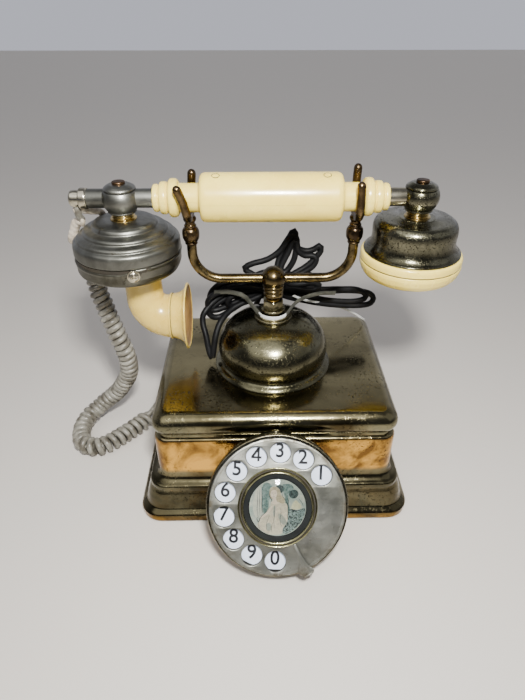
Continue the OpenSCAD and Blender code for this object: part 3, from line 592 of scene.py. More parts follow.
def simple(name, light, dark, rough, metallic=0.0, scale=80, bump=0.00004, **sockets):
    """Small or inner parts: a two-tone colour with fine bump."""
    p = Paint(name, roughness=rough, metallic=metallic, **sockets)
    p.colour(p.mix(p.blots(0.35, 0.68, scale, 5, 0.6, 0.3), dark, light))
    p.rough(p.steps(p.noise(scale * 1.7, 4, 0.6), (0.3, rough * 0.8), (0.75, min(1.0, rough * 1.25))))
    p.bump(p.noise(scale * 6, 4, 0.6), bump, 0.35)
    return p.material


BODY = body_brass()
DOME = worn_brass("dome_brass", srgb(128, 124, 99), srgb(62, 59, 42), 1.0, 800, 22, (0.14, 0.25), 0.3)
TRIM = worn_brass("trim_brass", srgb(172, 165, 134), srgb(96, 90, 68), 0.6, 700, 60)
STEM_BRASS = worn_brass("stem_brass", srgb(220, 194, 124), srgb(120, 98, 54), 0.5, 700, 60)
CASE = worn_brass("case_brass", srgb(128, 122, 100), srgb(58, 54, 42), 0.6, 700, 60)
BEZEL = worn_brass("bezel_brass", srgb(192, 189, 148), srgb(106, 103, 74), 0.4, 700, 30, (0.14, 0.26))
BRONZE = worn_brass("bronze", srgb(126, 110, 74), srgb(56, 47, 31), 0.5, 500, 70, (0.18, 0.3))
FORK = worn_brass("fork_bronze", srgb(118, 98, 68), srgb(50, 40, 30), 0.5, 500, 70, (0.2, 0.34))
COPPER = worn_brass("copper", srgb(110, 86, 64), srgb(56, 44, 34), 0.4, 500, 120, (0.26, 0.42))
NICKEL = dull_nickel("nickel_dull", srgb(134, 134, 127), srgb(90, 90, 83), (0.34, 0.48))
BAND = dull_nickel("nickel_band", srgb(126, 125, 115), srgb(70, 68, 58), (0.3, 0.46), srgb(42, 38, 27), 0.8,
    0.5)
WHEEL = wheel_nickel()
BELL = worn_brass("bell_plate", srgb(132, 129, 108), srgb(64, 62, 48), 1.0, 1000, 40, (0.14, 0.28), 0.16)
# Lighter nickel; on the tube's right half it is a painted highlight.
BRIGHT = dull_nickel("nickel_bright", srgb(220, 214, 194), srgb(160, 152, 130), (0.14, 0.26), stains=0.3)
CREAM = aged_plastic("cream_plastic", srgb(246, 222, 112), srgb(234, 206, 98), srgb(160, 122, 62))
CREAM_HORN = aged_plastic("cream_horn", srgb(230, 200, 98), srgb(210, 178, 82), srgb(146, 104, 56),
    grime=0.8)
HORN_INSIDE = aged_plastic("horn_inside", srgb(142, 110, 64), srgb(112, 84, 48), srgb(80, 54, 34),
    (0.35, 0.5), 0.9)
ENAMEL = simple("white_enamel", srgb(230, 238, 252), srgb(216, 226, 244), 0.22, scale=40, bump=0.00001)
INK = simple("ink", srgb(20, 22, 28), srgb(14, 15, 20), 0.4)
GROOVE_SHADE_AND_GRIME = simple("grime", srgb(46, 40, 28), srgb(30, 26, 18), 0.7)
# Dark brown for grooves, gaps and seams: painted shade in them, with some grime.
GASKET = simple("gasket", srgb(22, 26, 25), srgb(13, 15, 15), 0.7, Specular_IOR_Level=0.2)
GREY_CORD = simple("grey_cord", srgb(152, 149, 138), srgb(84, 79, 69), 0.36, scale=130, bump=0.00008)
TAPE = simple("cord_tape", srgb(226, 216, 200), srgb(176, 162, 142), 0.55, scale=160, bump=0.00014)
BLACK_CORD = simple("black_cord", srgb(20, 20, 21), srgb(10, 10, 11), 0.5, scale=70, bump=0.00005,
    Specular_IOR_Level=0.14)
BLACK = simple("black_plastic", srgb(44, 44, 46), srgb(34, 34, 36), 0.45)
TIE = simple("tie_plastic", srgb(214, 214, 212), srgb(182, 184, 184), 0.4)
# The tie's arms: its white plastic in darker grey, as painted shade.
TIE_SHADED = simple("tie_shaded", srgb(78, 78, 70), srgb(46, 47, 41), 0.5, scale=200)
FELT = simple("felt", srgb(70, 82, 62), srgb(52, 62, 46), 0.95, scale=400, bump=0.0002)
STEEL = simple("steel", srgb(176, 176, 172), srgb(140, 140, 136), 0.3, 1.0)
GEAR = simple("gear_brass", srgb(216, 180, 104), srgb(180, 144, 78), 0.28, 1.0)
PHOSPHOR = simple("contact_bronze", srgb(206, 150, 96), srgb(170, 118, 70), 0.3, 1.0)
WINDING = simple("coil_winding", srgb(140, 62, 38), srgb(104, 40, 26), 0.4, scale=500)
BOARD = simple("brown_board", srgb(112, 74, 44), srgb(86, 54, 30), 0.6)
CAPSULE = simple("capsule", srgb(110, 110, 108), srgb(80, 80, 78), 0.5, 0.6)

CAD_LOOKS = {
    "base_plate": STEEL,
    "base_pad": FELT,
    "base_screws": STEEL,
    "corner_posts": GEAR,
    "column_bush": GEAR,
    "hook_bracket": STEEL,
    "hook_spring": STEEL,
    "hook_switch": PHOSPHOR,
    "ringer_frame": STEEL,
    "ringer_coils": WINDING,
    "gong_posts": STEEL,
    "gongs": GEAR,
    "clapper": GEAR,
    "terminal_block": BOARD,
    "wire_loom": BLACK_CORD,
    "dial_backplate": STEEL,
    "spring_barrel": STEEL,
    "impulse_contacts": PHOSPHOR,
    "dial_shaft": STEEL,
    "dial_gear": GEAR,
    "governor": GEAR,
    "microphone": CAPSULE,
    "earpiece": CAPSULE,
}


def dress_cad():
    for node, material in CAD_LOOKS.items():
        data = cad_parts[node].data
        data.materials.clear()
        data.materials.append(material)


dress_cad()

# ---------------------------------------------------------------- cords
LEAD_IN = [(-81, 30, 14), (-87, 30, 14), (-91, 26, 11)]
CURL = [
    (-94, 21, 8.6), (-99, 14, 7.4), (-107, 5, 7.2), (-117, -6, 7.2), (-127, -11, 7.2), (-137, -7, 7.2),
    (-142, 5, 7.6), (-140, 18, 9.6), (-131, 27, 15), (-116, 28, 28), (-103.5, 22, 51), (-102.5, 18, 70),
    (-106, 19, 84), (-112, 24, 100), (-117, 29, 117), (-118, 30, 132), (-117, 29, 146),
]
LEAD_OUT = [
    (-119.5, 22, 151), (-121, 14, 156), (-118, 10, 162), (-114.6, 7.6, 168.6), (-109.8, 4, 172),
    (-110, 1, 176), (-109.4, 0, 179), (-109.4, 0, 183.2),
]
CUP_LEAD = [(-109.4, 0, 180.4), (-107, 3, 178.2), (-103.5, 7, 176.2), (-101, 11, 174.6),
    (-99.6, 13.4, 171.4), (-98.8, 14.2, 169.2)]
CURL_WIRE = 4.2
CURL_R = 4.9
CURL_PITCH = 5.1
LINE_D = 4.0


def curly_line():
    """Centreline of the wire: a lead, the turns round the curl's own line, and a lead."""
    axis = spaced(spline(CURL, 12), 1.0)
    axes = frames(axis)
    length = len(axis) - 1.0
    out = spaced(spline(LEAD_IN, 8), 1.5)
    angle, s = 0.0, 0.0
    rnd = random.Random(4)
    sag = [rnd.uniform(-0.35, 0.35) for _ in range(200)]
    step = 1 / 16
    while s < length:
        share = s / length
        pitch = CURL_PITCH - 0.75 * min(1.0, max(0.0, share - 0.2) / 0.2)
        j = min(int(s), len(axis) - 2)
        c = axis[j].lerp(axis[j + 1], s - j)
        t, u, v = axes[j]
        grow = min(1.0, s / 2.4, (length - s) / 2.4)
        r = (CURL_R - 0.6 * share) * (0.2 + 0.8 * grow)
        turn = angle / (2 * math.pi)
        k = int(turn)
        c = c + u * (sag[k] * (1 - (turn - k)) + sag[k + 1] * (turn - k))
        p = c + u * (r * math.cos(angle)) + v * (r * math.sin(angle))
        p.z = max(p.z, CURL_WIRE / 2 + 0.2)
        out.append(p)
        angle += 2 * math.pi * step
        s += pitch * step
    out += spaced(spline([axis[-1]] + LEAD_OUT, 8), 1.5)[2:]
    return out


curly = curly_line()
handset_cord = piece("handset_cord_wire", tube(curly, CURL_WIRE / 2, 8), GREY_CORD, None,
    angle=60)
lead_top = spaced(spline([(-117, 29, 146)] + LEAD_OUT[:-3], 10), 0.8)
tape_radii = [2.5 + 0.22 * math.sin(0.9 * i) * math.sin(0.31 * i) for i in range(len(lead_top))]
tape_radii[0] = tape_radii[-1] = 2.15
fold = spaced(spline([(-110.6, 5, 169.6), (-109.6, 3.2, 173), (-111, 1.2, 177), (-111.6, 0.4, 180)], 8),
    0.8)
fold_radii = [3.0 - 1.0 * abs(2 * i / (len(fold) - 1) - 0.5) for i in range(len(fold))]
tape = piece("handset_cord_tape",
    joined(tube(lead_top, tape_radii, 14, 1.1), tube(fold, fold_radii, 12, 0.6)), TAPE, None,
    angle=50)
cup_lead = spaced(spline(CUP_LEAD, 8), 0.8)
piece("cup_lead_tape", tube(cup_lead, [2.0 + 0.15 * math.sin(1.3 * i) for i in range(len(cup_lead))], 14),
    TAPE, "handset", angle=50)
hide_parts("handset_cord")
for soft in (handset_cord, tape):
    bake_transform(soft)

# The line cord: up the back of the base, round the loops of the hank, and down to its plug.
LINE_UP = [
    (30, 66, 14), (30, 75, 14), (32, 90, 4), (24, 96, 2.2), (16, 88, 8), (12, 79, 40), (10, 73, 70),
    (7, 56, 84), (5, 42, 98), (4, 31, 114),
]
LINE_DOWN = [
    (-6, 30, 114), (-9, 42, 98), (-11, 56, 84), (-12, 73, 70), (-14, 79, 40), (-20, 88, 8), (-32, 94, 4.5),
    (-42, 94, 6),
]
# Each loop leaves the tied middle, turns at its own end and comes back.
LOOPS = [
    [(0, 18, 118), (-16, 17, 121), (-31, 15, 120), (-39, 15, 116), (-42.5, 16, 110), (-40, 17, 104),
        (-30, 19, 106), (-16, 21, 112), (0, 20, 117)],
    [(3, 25, 124), (4, 29, 133), (8, 31, 143), (11.4, 31, 150), (13.6, 31, 154), (15.2, 30.6, 151.5),
        (14.2, 30, 146), (16.5, 30, 142.6), (22, 30, 140.4), (27.4, 30, 141.6), (30.6, 30, 144),
        (32, 29.6, 141.4), (29, 29, 136.6), (22, 28, 130), (10, 26, 123)],
    [(0, 22, 114), (-14, 21, 111), (-26, 19, 104), (-34, 18, 99), (-39.5, 17, 99), (-42, 17, 103),
        (-36, 20, 108), (-20, 23, 116), (0, 25, 121)],
    [(8, 25, 116), (20, 28, 112.4), (34, 31, 109.8), (50, 33, 109.6), (64, 34, 108), (70, 33.6, 105.4),
        (71, 33, 101.8), (67, 32, 99), (54, 31, 98.8), (36, 29, 101.6), (20, 27, 106), (6, 24, 112)],
    [(-4, 21, 122), (-18, 20, 125.6), (-31, 18.6, 124), (-38, 18, 119.6), (-41, 19, 113), (-38, 21, 108),
        (-26, 24, 112), (-10, 25, 119), (4, 25, 124)],
    [(6, 27, 131), (10.4, 28.6, 140), (13.4, 29.4, 147), (16, 29, 147.4), (16.6, 28.2, 142),
        (21, 28, 138.2), (26.4, 28, 138), (29, 27.4, 136), (26, 27, 130), (14, 26, 123), (2, 22, 116)],
    [(-4, 18, 116), (-14, 16.6, 112), (-25, 14.6, 107.6), (-33.2, 6, 103), (-36.8, 0, 96),
        (-38.4, -3.2, 88), (-39.8, -4.6, 80.6), (-41.8, -2.4, 85), (-43.6, 2, 94), (-45.6, 7, 100.6),
        (-44.6, 13, 105), (-36, 19, 112), (-20, 22, 121), (-6, 24, 128)],
    [(8, 28, 127), (18, 29, 119), (30, 29.6, 113), (46, 31.4, 111.6), (58, 33, 110.4), (64.6, 33.4, 107),
        (64.8, 32.6, 103.4), (56, 31.6, 101.8), (38, 30, 104), (22, 29, 108.6), (6, 28, 114)],
    [(-4, 23, 120), (-20, 22, 123), (-33, 20, 117), (-30, 22, 111), (-14, 23, 115), (4, 25, 121),
        (20, 27, 121), (32, 28.5, 116.5), (27, 28, 112.5), (12, 26, 116), (-2, 24, 119)],
    [(-6, 26, 122), (-14, 27, 126.4), (-18, 27.5, 129.6), (-13, 28, 132.6), (-3, 28.4, 135.4), (5, 29, 141),
        (10.4, 29.8, 149), (13.6, 30, 151.4), (16, 30, 148), (15.6, 29.4, 142), (14, 28.4, 134),
        (8, 27, 126)],
    [(-6, 20, 119), (-18, 18.5, 118), (-29, 17, 112), (-26, 18, 106.5), (-12, 20, 112), (2, 22, 118),
        (14, 25.5, 124), (24, 27.5, 125), (28, 28, 120), (16, 26.5, 118), (2, 24, 121)],
    [(-8, 26, 116), (-20, 26, 122), (-30, 24, 122), (-36.4, 23, 116), (-36, 24, 108), (-28, 26, 104),
        (-14, 28, 109), (-2, 29, 118), (2, 29, 126)],
]


def line_route():
    knots = list(LINE_UP)
    for loop in LOOPS:
        knots += loop
    knots += LINE_DOWN
    return spaced(spline(knots, 10), 2.0)


line_points = line_route()
line_cord = piece("line_cord_cable", tube(line_points, LINE_D / 2, 10), BLACK_CORD, "base",
    ("line_cord",), angle=60)


PLUG = Vector((-62, 94, 0))


def plug_mesh():
    outline = rounded([(-14, -11), (14, -11), (14, 11), (-14, 11)], 3, 4)
    rings = []
    for z, k in ((0.3, 0.94), (0.9, 0.98), (1.8, 1.0), (10.4, 1.0), (11.4, 0.98), (12, 0.93)):
        rings.append([PLUG + Vector((x * k, y * k, z)) for x, y in outline])
    relief = lathe(rounded([
        (0, 0), (4, 0), (4, 1.2), (3, 1.6), (3.6, 2.2), (2.9, 2.8), (3.3, 3.4), (2.6, 4.2), (2.5, 6),
        (0, 6),
    ], 0.3, 2), 32)
    return joined(loft(rings), moved(relief, shift(*PLUG) @ shift(14, 0, 6) @ ALONG_X))


def blades_mesh():
    blade = outline_mesh([rounded([(-82, -1.5), (-75, -1.5), (-75, 1.5), (-82, 1.5)], 1.0, 4)], 1.2, 0.2)
    return joined(*[moved(blade, shift(0, PLUG.y + y, 5.6)) for y in (-6, 0, 6)])


plug = piece("line_plug_body", plug_mesh(), BLACK, "base")
blades = piece("line_plug_blades", blades_mesh(), GEAR, "base")
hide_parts("line_plug")

TIE_R, TIE_Z = 9.4, 113.2
TIE_FRONT = [(x, y, TIE_Z) for x, y in arc(TIE_R, 0, range(-160, -19, 14))]
TIE_LEFT = [(-37.5, 13.6, 119.4), (-27.4, 12.6, 120.2), (-18.3, 10, 118.4), (-13, 4, 114.8)]
TIE_RIGHT = [(13, 4, 114.8), (17.6, 8, 116.6), (23.1, 11.6, 117), (31.1, 14.4, 117.6), (41.5, 17, 116.4)]


def strip(route, wide, thick=0.4):
    """Flat strip along a route, on edge like a band round a post."""
    points = spaced(spline(route, 6), 1.2)
    rings = []
    for p, (t, u, v) in zip(points, frames(points)):
        rings.append([p + u * (x * wide) + v * (y * thick) for x, y in circle(1, 8, start=math.pi / 8)])
    return loft(rings)


piece("cord_tie_strip", strip(TIE_FRONT, 1.3), TIE, "base", ("cord_tie",))
# Painted shade: the tie's arms, darker than its white front.
piece(
    "cord_tie_arms", joined(strip(TIE_LEFT + TIE_FRONT[:2], 1.7, 0.5),
        strip(TIE_FRONT[-2:] + TIE_RIGHT, 1.6, 0.5)),
    TIE_SHADED, "base",
)
tail = spaced(spline([(14, 20, 113), (24, 24, 107), (36, 29, 102), (47, 33, 97), (58, 38, 89.6),
    (67, 43, 81.4), (70, 46, 78)], 8), 1.2)
piece("cord_tie_tail", tube(tail, [0.8] * len(tail), 10, 0.5), TIE, "base")


def grommets_mesh():
    profile = [(2.2, -6), (3.4, -6), (3.4, -2.2), (4.8, -2.2), (4.8, -0.4), (3.6, 0.4), (2.2, 0.4)]
    one = lathe(rounded(profile, 0.5, 3), 40)
    left = moved(one, shift(-BASE_W / 2 + 1.6, 30, 14) @ spin(-90, "Y"))
    back = moved(one, shift(30, BASE_D / 2 - 1.6, 14) @ spin(-90, "X"))
    return joined(left, back)


piece("grommets", grommets_mesh(), BLACK, "base", ("cord_grommets",))


# ---------------------------------------------------------------- base
def plan_ring(inset, z, steps=10, side=10):
    """Rounded rectangle inset from the plinth's outline, with points along its sides too."""
    r = max(1.5, CORNER_R - 0.4 * inset)
    hx, hy = BASE_W / 2 - inset - r, BASE_D / 2 - inset - r
    corners = []
    for q, (sx, sy) in enumerate(((1, 1), (-1, 1), (-1, -1), (1, -1))):
        for k in range(steps + 1):
            a = math.radians(90 * q + 90 * k / steps)
            corners.append(Vector((sx * hx + r * math.cos(a), sy * hy + r * math.sin(a), z)))
    out = []
    m = steps + 1
    for q in range(4):
        block = corners[q * m:(q + 1) * m]
        out += block
        nxt = corners[((q + 1) % 4) * m]
        out += [block[-1].lerp(nxt, k / side) for k in range(1, side)]
    return out


SHELL_STEPS = [
    (0.5, 0.5), (0.05, 1.4), (0.0, 5.4), (0.7, 6.4), (3.2, 8.6), (3.6, 9.6), (3.9, 11.5), (4.6, 15),
    (5.8, 18.6), (7.0, 21.2), (6.9, 21.9), (6.8, 24.2), (7.5, 25.3), (9.4, 26.0), (11.2, 27.4),
    (12.2, 29.6), (12.5, 32.5), (12.5, 57.0), (13.2, 58.8), (14.8, 59.5),
]


def shell_mesh():
    outside = rounded(SHELL_STEPS, 0.9, 3, closed=False)
    edge = [
        (12 + BULLNOSE_R * (1 - cosd(a)), BASE_H - BULLNOSE_R * (1 - sind(a)))
        for a in range(-64, 91, 7)
    ]
    top = [(28, BASE_H), (42, BASE_H)]
    inside = [(1.6, 0.5), (1.6, 6), (5, 10), (14, 32), (14, 57), (20.25, BASE_H - 1.5), (42, BASE_H - 1.5)]
    return loft([plan_ring(inset, z) for inset, z in inside + outside + edge + top])


piece("base_shell_skin", shell_mesh(), BODY, "base", ("base_shell",), angle=40)

DOME_OUT = [
    (37.6, 0.0), (37.8, 0.5), (37.2, 1.3), (36.2, 2.2), (34.8, 3.2), (34.0, 4.5), (34.2, 6.0), (34.9, 8.5),
    (35.3, 11.5), (35.05, 15), (33.95, 19), (31.7, 23.1), (28.3, 26.8), (23.7, 29.9), (18.1, 32.1),
    (12, 33.4),
]


def dome_mesh():
    outside = [(p.x, p.y) for p in spline(DOME_OUT, 4)]
    inside = [(4.3, 33.0), (12, 32.2), (18, 30.8), (23.2, 28.5), (27.5, 25.6), (30.8, 22.2), (33, 18.4),
        (34, 15), (34.2, 11.5), (33.4, 7), (33, 4.4), (34, 2), (36, 0)]
    return lathe(outside + [(12, 33.9), (4.3, 33.9)] + inside, 160)


piece("dome_skin", dome_mesh(), DOME, "base", ("dome_cover",), shift(0, 0, BASE_H), 30)
piece(
    "washer_stack",
    joined(
        lathe(rounded(band(4.3, 12, DOME_TOP - 0.3, DOME_TOP + 1), 0.35), 80),
        lathe(rounded(band(4.3, 10.5, DOME_TOP + 1, DOME_TOP + 2), 0.3), 80),
        lathe(rounded(band(4.3, 7.6, 114.4, 116.3), 0.5), 64),
    ),
    TRIM, "base", ("washers",),
)


def nut_mesh():
    outer = circle(6.9, 6, start=math.radians(30))
    rings = []
    for z, k in ((116.3, 0.9), (117.0, 1.0), (121.6, 1.0), (122.3, 0.9)):
        ring = []
        for i in range(6):
            a, b = Vector(outer[i]), Vector(outer[(i + 1) % 6])
            for t in (0, 0.08, 0.5, 0.92):
                q = a.lerp(b, t)
                if t == 0:
                    q = q * 0.985
                limit = 6.2 + (0.7 * (k - 0.9) / 0.1)
                q = q * min(1.0, limit / q.length)
                ring.append((q.x, q.y, z))
        rings.append(ring)
    return loft(rings)


piece("lock_nut_hex", nut_mesh(), TRIM, "base", ("lock_nut",), angle=28)


# ---------------------------------------------------------------- dial
def neck_mesh():
    """The case's neck: round at the dial and nearly rectangular where it enters the base's wall."""
    rings = []
    for t in [i / 8 for i in range(9)]:
        ring = []
        for c, s in circle(1, 72):
            disc = AT_DIAL @ Vector((31.8 * c, 31.8 * s, CASE_BACK))
            norm = (abs(c) ** 5 + abs(s) ** 5) ** 0.2
            box = Vector((25 * c / norm, -BASE_D / 2 + 12.3, 46 + 12 * s / norm))
            ease = t * t * (3 - 2 * t) * 0.35 + t * 0.65
            ring.append(disc.lerp(box, ease))
        rings.append(ring)
    return loft(rings)


piece("dial_neck_skin", neck_mesh(), TRIM, "base", ("dial_neck",), angle=50)
case_profile = rounded([
    (15, CASE_BACK), (CASE_R - 1.2, CASE_BACK), (CASE_R, CASE_BACK + 1.4), (CASE_R, CASE_FRONT - 1.2),
    (CASE_R - 0.5, CASE_FRONT), (CASE_R - 1.5, CASE_FRONT), (CASE_R - 1.5, CASE_BACK + 1.1),
    (15, CASE_BACK + 1.1),
], 0.45, 4)
piece("dial_case_ring", lathe(case_profile, 160), CASE, "base", ("dial_case",), AT_DIAL)
piece(
    "dial_clamp_screw_head", slotted_head(2.2, 1.4, 0.6, 0.7, 0.2, n=32), TRIM, "base",
    ("dial_clamp_screw",),
    AT_DIAL @ shift(0, CASE_R - 0.1, -9.8) @ spin(-90, "X"),
)
piece(
    "number_plate_disc",
    lathe(rounded(band(5, PLATE_R, PLATE_FRONT - 0.8, PLATE_FRONT), 0.2), 120),
    ENAMEL, "base", ("number_plate",), AT_DIAL,
)


DIGIT_SIZE = 11.2
DIGIT_TURN = -3


def at_hole(i):
    """Middle of a finger hole in the dial's plane."""
    a = FIRST_HOLE + HOLE_STEP * i
    return HOLE_PITCH_R * cosd(a), HOLE_PITCH_R * sind(a)


def digit_mesh(text):
    font = bpy.data.curves.new("digit", "FONT")
    font.body = text
    font.size = DIGIT_SIZE
    font.align_x = "CENTER"
    font.align_y = "CENTER"
    font.extrude = 0.02
    font.offset = 0.19
    font.resolution_u = 6
    mesh = curve_mesh(font)
    lo = [min(v[i] for v in mesh[0]) for i in (0, 1)]
    hi = [max(v[i] for v in mesh[0]) for i in (0, 1)]
    return moved(mesh, shift(-(lo[0] + hi[0]) / 2, -(lo[1] + hi[1]) / 2, 0))


# The font's own 4 has its inside filled when it is thickened, so this one is built of three strokes.
FOUR = (
    [(0.6, -3.9), (1.9, -3.9), (1.9, 3.9), (0.6, 3.9)],
    [(-2.9, -2.3), (3.0, -2.3), (3.0, -1.1), (-2.9, -1.1)],
    [(-2.9, -2.0), (-1.5, -1.5), (1.9, 3.0), (1.9, 3.9), (0.6, 3.9), (-2.9, -1.1)],
)


def digits_mesh():
    meshes = []
    for i, text in enumerate("1234567890"):
        x, y = at_hole(i)
        place = shift(x - 0.1, y + 0.8, PLATE_FRONT + 0.03) @ spin(DIGIT_TURN, "Z")
        if text == "4":
            digit = joined(*[outline_mesh([stroke], 0.04, 0.0) for stroke in FOUR])
        else:
            digit = digit_mesh(text)
        meshes.append(moved(digit, place))
    return joined(*meshes)


piece("number_plate_digits", digits_mesh(), INK, "base", (), AT_DIAL, 30)


def stop_mesh():
    """Finger stop: a flat blade that widens outwards and hooks over the ring's edge."""
    blade = [
        (22.6, -0.55), (29, -0.95), (33.5, -1.7), (36, -3.2), (37.4, -4.5), (38.8, -4.2), (40.2, -3.0),
        (41.0, -2.9), (41.4, -1.6), (40.9, -0.6), (41.4, 0.6), (40.8, 1.5), (41.0, 2.8), (39.8, 3.9),
        (38.4, 3.6), (37.2, 2.4), (34, 1.5), (29, 0.9), (22.6, 0.55),
    ]
    hook = [(-3, -2.2), (2.2, -2.2), (2.2, 2.2), (-3, 2.2)]
    top = moved(outline_mesh([rounded(blade, 0.7, 4)], 0.9, 0.25), shift(0, 0, 1.15))
    drop = outline_mesh([rounded(hook, 0.6, 3)], 0.8, 0.2)
    drop = moved(drop, shift(CASE_R + 0.6, 0, -1.2) @ spin(90, "Y"))
    return moved(joined(top, drop), spin(STOP_ANGLE, "Z"))


piece("finger_stop_blade", stop_mesh(), WHEEL, "base", ("finger_stop",), AT_DIAL)


def wheel_mesh():
    holes = [circle(HOLE_R + 0.25, 48, *at_hole(i)) for i in range(10)]
    plate = outline_mesh([circle(WHEEL_R, 160), circle(4.0, 32)] + holes, 1.6, 0.3)
    rim = rounded([
        (WHEEL_R - 1.3, -1.5), (WHEEL_R, -1.6), (WHEEL_R, -0.2), (WHEEL_R - 0.3, 0.0),
        (WHEEL_R - 0.9, 0.04), (WHEEL_R - 1.3, -0.02),
    ], 0.2, 3)
    return joined(moved(plate, shift(0, 0, -0.8)), lathe(rim, 160))


# Painted shade: a dark lining on the wall of each finger hole.
def hole_shade_linings_mesh():
    edge = [(HOLE_R - 0.16, -1.7), (HOLE_R + 0.2, -1.7), (HOLE_R + 0.2, -0.5), (HOLE_R - 0.16, -0.42)]
    return joined(*[moved(lathe(edge, 48), shift(*at_hole(i), 0)) for i in range(10)])


piece("finger_wheel_plate", wheel_mesh(), WHEEL, "dial", ("finger_wheel",), AT_DIAL, 30)
piece("finger_hole_shade_linings", hole_shade_linings_mesh(), GROOVE_SHADE_AND_GRIME, "dial", (), AT_DIAL)
bezel_profile = rounded([
    (GASKET_R - 0.4, 0.1), (BEZEL_R, 0.1), (BEZEL_R, 0.9), (BEZEL_R - 0.25, 1.35), (BEZEL_R - 0.65, 1.35),
    (BEZEL_R - 0.95, 0.95), (BEZEL_R - 1.0, 0.6), (BEZEL_R - 1.7, 0.6), (BEZEL_R - 1.9, 1.0),
    (BEZEL_R - 2.15, 1.8), (BEZEL_R - 2.5, 2.25), (GASKET_R + 0.1, 2.3), (GASKET_R - 0.3, 1.9),
    (GASKET_R - 0.4, 1.2)], 0.2, 4)
piece("dial_bezel_ring", lathe(bezel_profile, 144), BEZEL, "dial", ("dial_bezel",), AT_DIAL)
# Painted shade: a dark ring in the bezel's groove, with some grime.
piece(
    "dial_bezel_groove_shade", lathe(band(BEZEL_R - 1.7, BEZEL_R - 1.0, 0.5, 0.72), 144),
    GROOVE_SHADE_AND_GRIME, "dial", (), AT_DIAL,
)
piece(
    "dial_gasket_ring", lathe(rounded([(PICTURE_R, 0.2), (GASKET_R, 0.2), (GASKET_R, 1.3),
        (PICTURE_R + 0.4, 0.9), (PICTURE_R, 0.7)], 0.2), 120),
    GASKET, "dial", ("dial_gasket",), AT_DIAL,
)


def glass_material():
    p = Paint("clear_lens", roughness=0.03, Transmission_Weight=1.0, IOR=1.3)
    p.colour(srgb(250, 252, 252))
    return p.material


LENS_R = 43.0
lens_top = [(r, 3.6 - LENS_R + math.sqrt(LENS_R**2 - r * r)) for r in (15.8, 14, 12, 10, 8, 6, 4, 2, 0)]
piece("dial_lens_dome", lathe([(0, 0.66), (PICTURE_R, 0.66)] + lens_top, 96), glass_material(), "dial",
    ("dial_lens",), AT_DIAL)


# The picture: a seated figure in a pale dress beside columns and foliage, in flat shapes of paint.
def paint_card(name, light, dark, scale=400, spread=0.14):
    p = Paint(name, roughness=0.6)
    tone = p.blots(0.5 - spread, 0.5 + spread, scale, 6, 0.7, 0.6)
    p.colour(p.mix(tone, dark, light))
    p.bump(p.noise(scale, 4, 0.6), 0.00001, 0.3)
    return p.material


CARD = paint_card("card_ground", srgb(214, 216, 198), srgb(158, 176, 164), 260)
CARD_PALE = paint_card("card_pale", srgb(226, 224, 204), srgb(196, 200, 180), 300)
CARD_TEAL = paint_card("card_teal", srgb(146, 168, 158), srgb(70, 100, 94), 420, 0.12)
CARD_DARK = paint_card("card_dark", srgb(88, 110, 106), srgb(36, 52, 50), 500, 0.1)
CARD_LEAVES = paint_card("card_leaves", srgb(150, 172, 164), srgb(20, 38, 36), 900, 0.06)
CARD_YELLOW = paint_card("card_yellow", srgb(232, 228, 186), srgb(212, 206, 160))
CARD_DRESS = paint_card("card_dress", srgb(234, 224, 196), srgb(196, 184, 156), 340)
CARD_FOLD = paint_card("card_fold", srgb(178, 178, 158), srgb(140, 150, 138), 400)
CARD_HAIR = paint_card("card_hair", srgb(206, 192, 156), srgb(164, 148, 116), 600)
CARD_SKIN = paint_card("card_skin", srgb(240, 226, 204), srgb(228, 210, 186))
CARD_LINE = paint_card("card_line", srgb(48, 60, 56), srgb(26, 36, 34))


CARD_TOP = 0.52
PAINT_STEP = 0.008


def filled(outline, level):
    """Flat patch inside a closed outline, a hair above the card."""
    return moved(curve_mesh(flat_curve([outline], "FRONT")), shift(0, 0, CARD_TOP + PAINT_STEP * level))


def patch(points, level):
    return filled(spline([Vector((x, y, 0)) for x, y in points], 5, closed=True), level)


def stroke(points, wide, level):
    """Brush line that thins towards its ends."""
    line = spline([Vector((x, y, 0)) for x, y in points], 5)
    left, right = [], []
    for i, (p, (t, u, v)) in enumerate(zip(line, frames(line))):
        half = wide / 2 * (0.25 + 0.75 * math.sin(math.pi * i / (len(line) - 1)))
        side = Vector((-t.y, t.x, 0)) * half
        left.append(p + side)
        right.append(p - side)
    return filled(left + right[::-1], level)


def oval(x, y, rx, ry, turn=0.0):
    c, s = cosd(turn), sind(turn)
    ring = [(rx * a, ry * b) for a, b in circle(1, 12)]
    return [(x + a * c - b * s, y + a * s + b * c) for a, b in ring]


piece("dial_card", lathe(band(0, PICTURE_R, 0, 0.5), 96), CARD, "dial", ("dial_picture",),
    AT_DIAL)

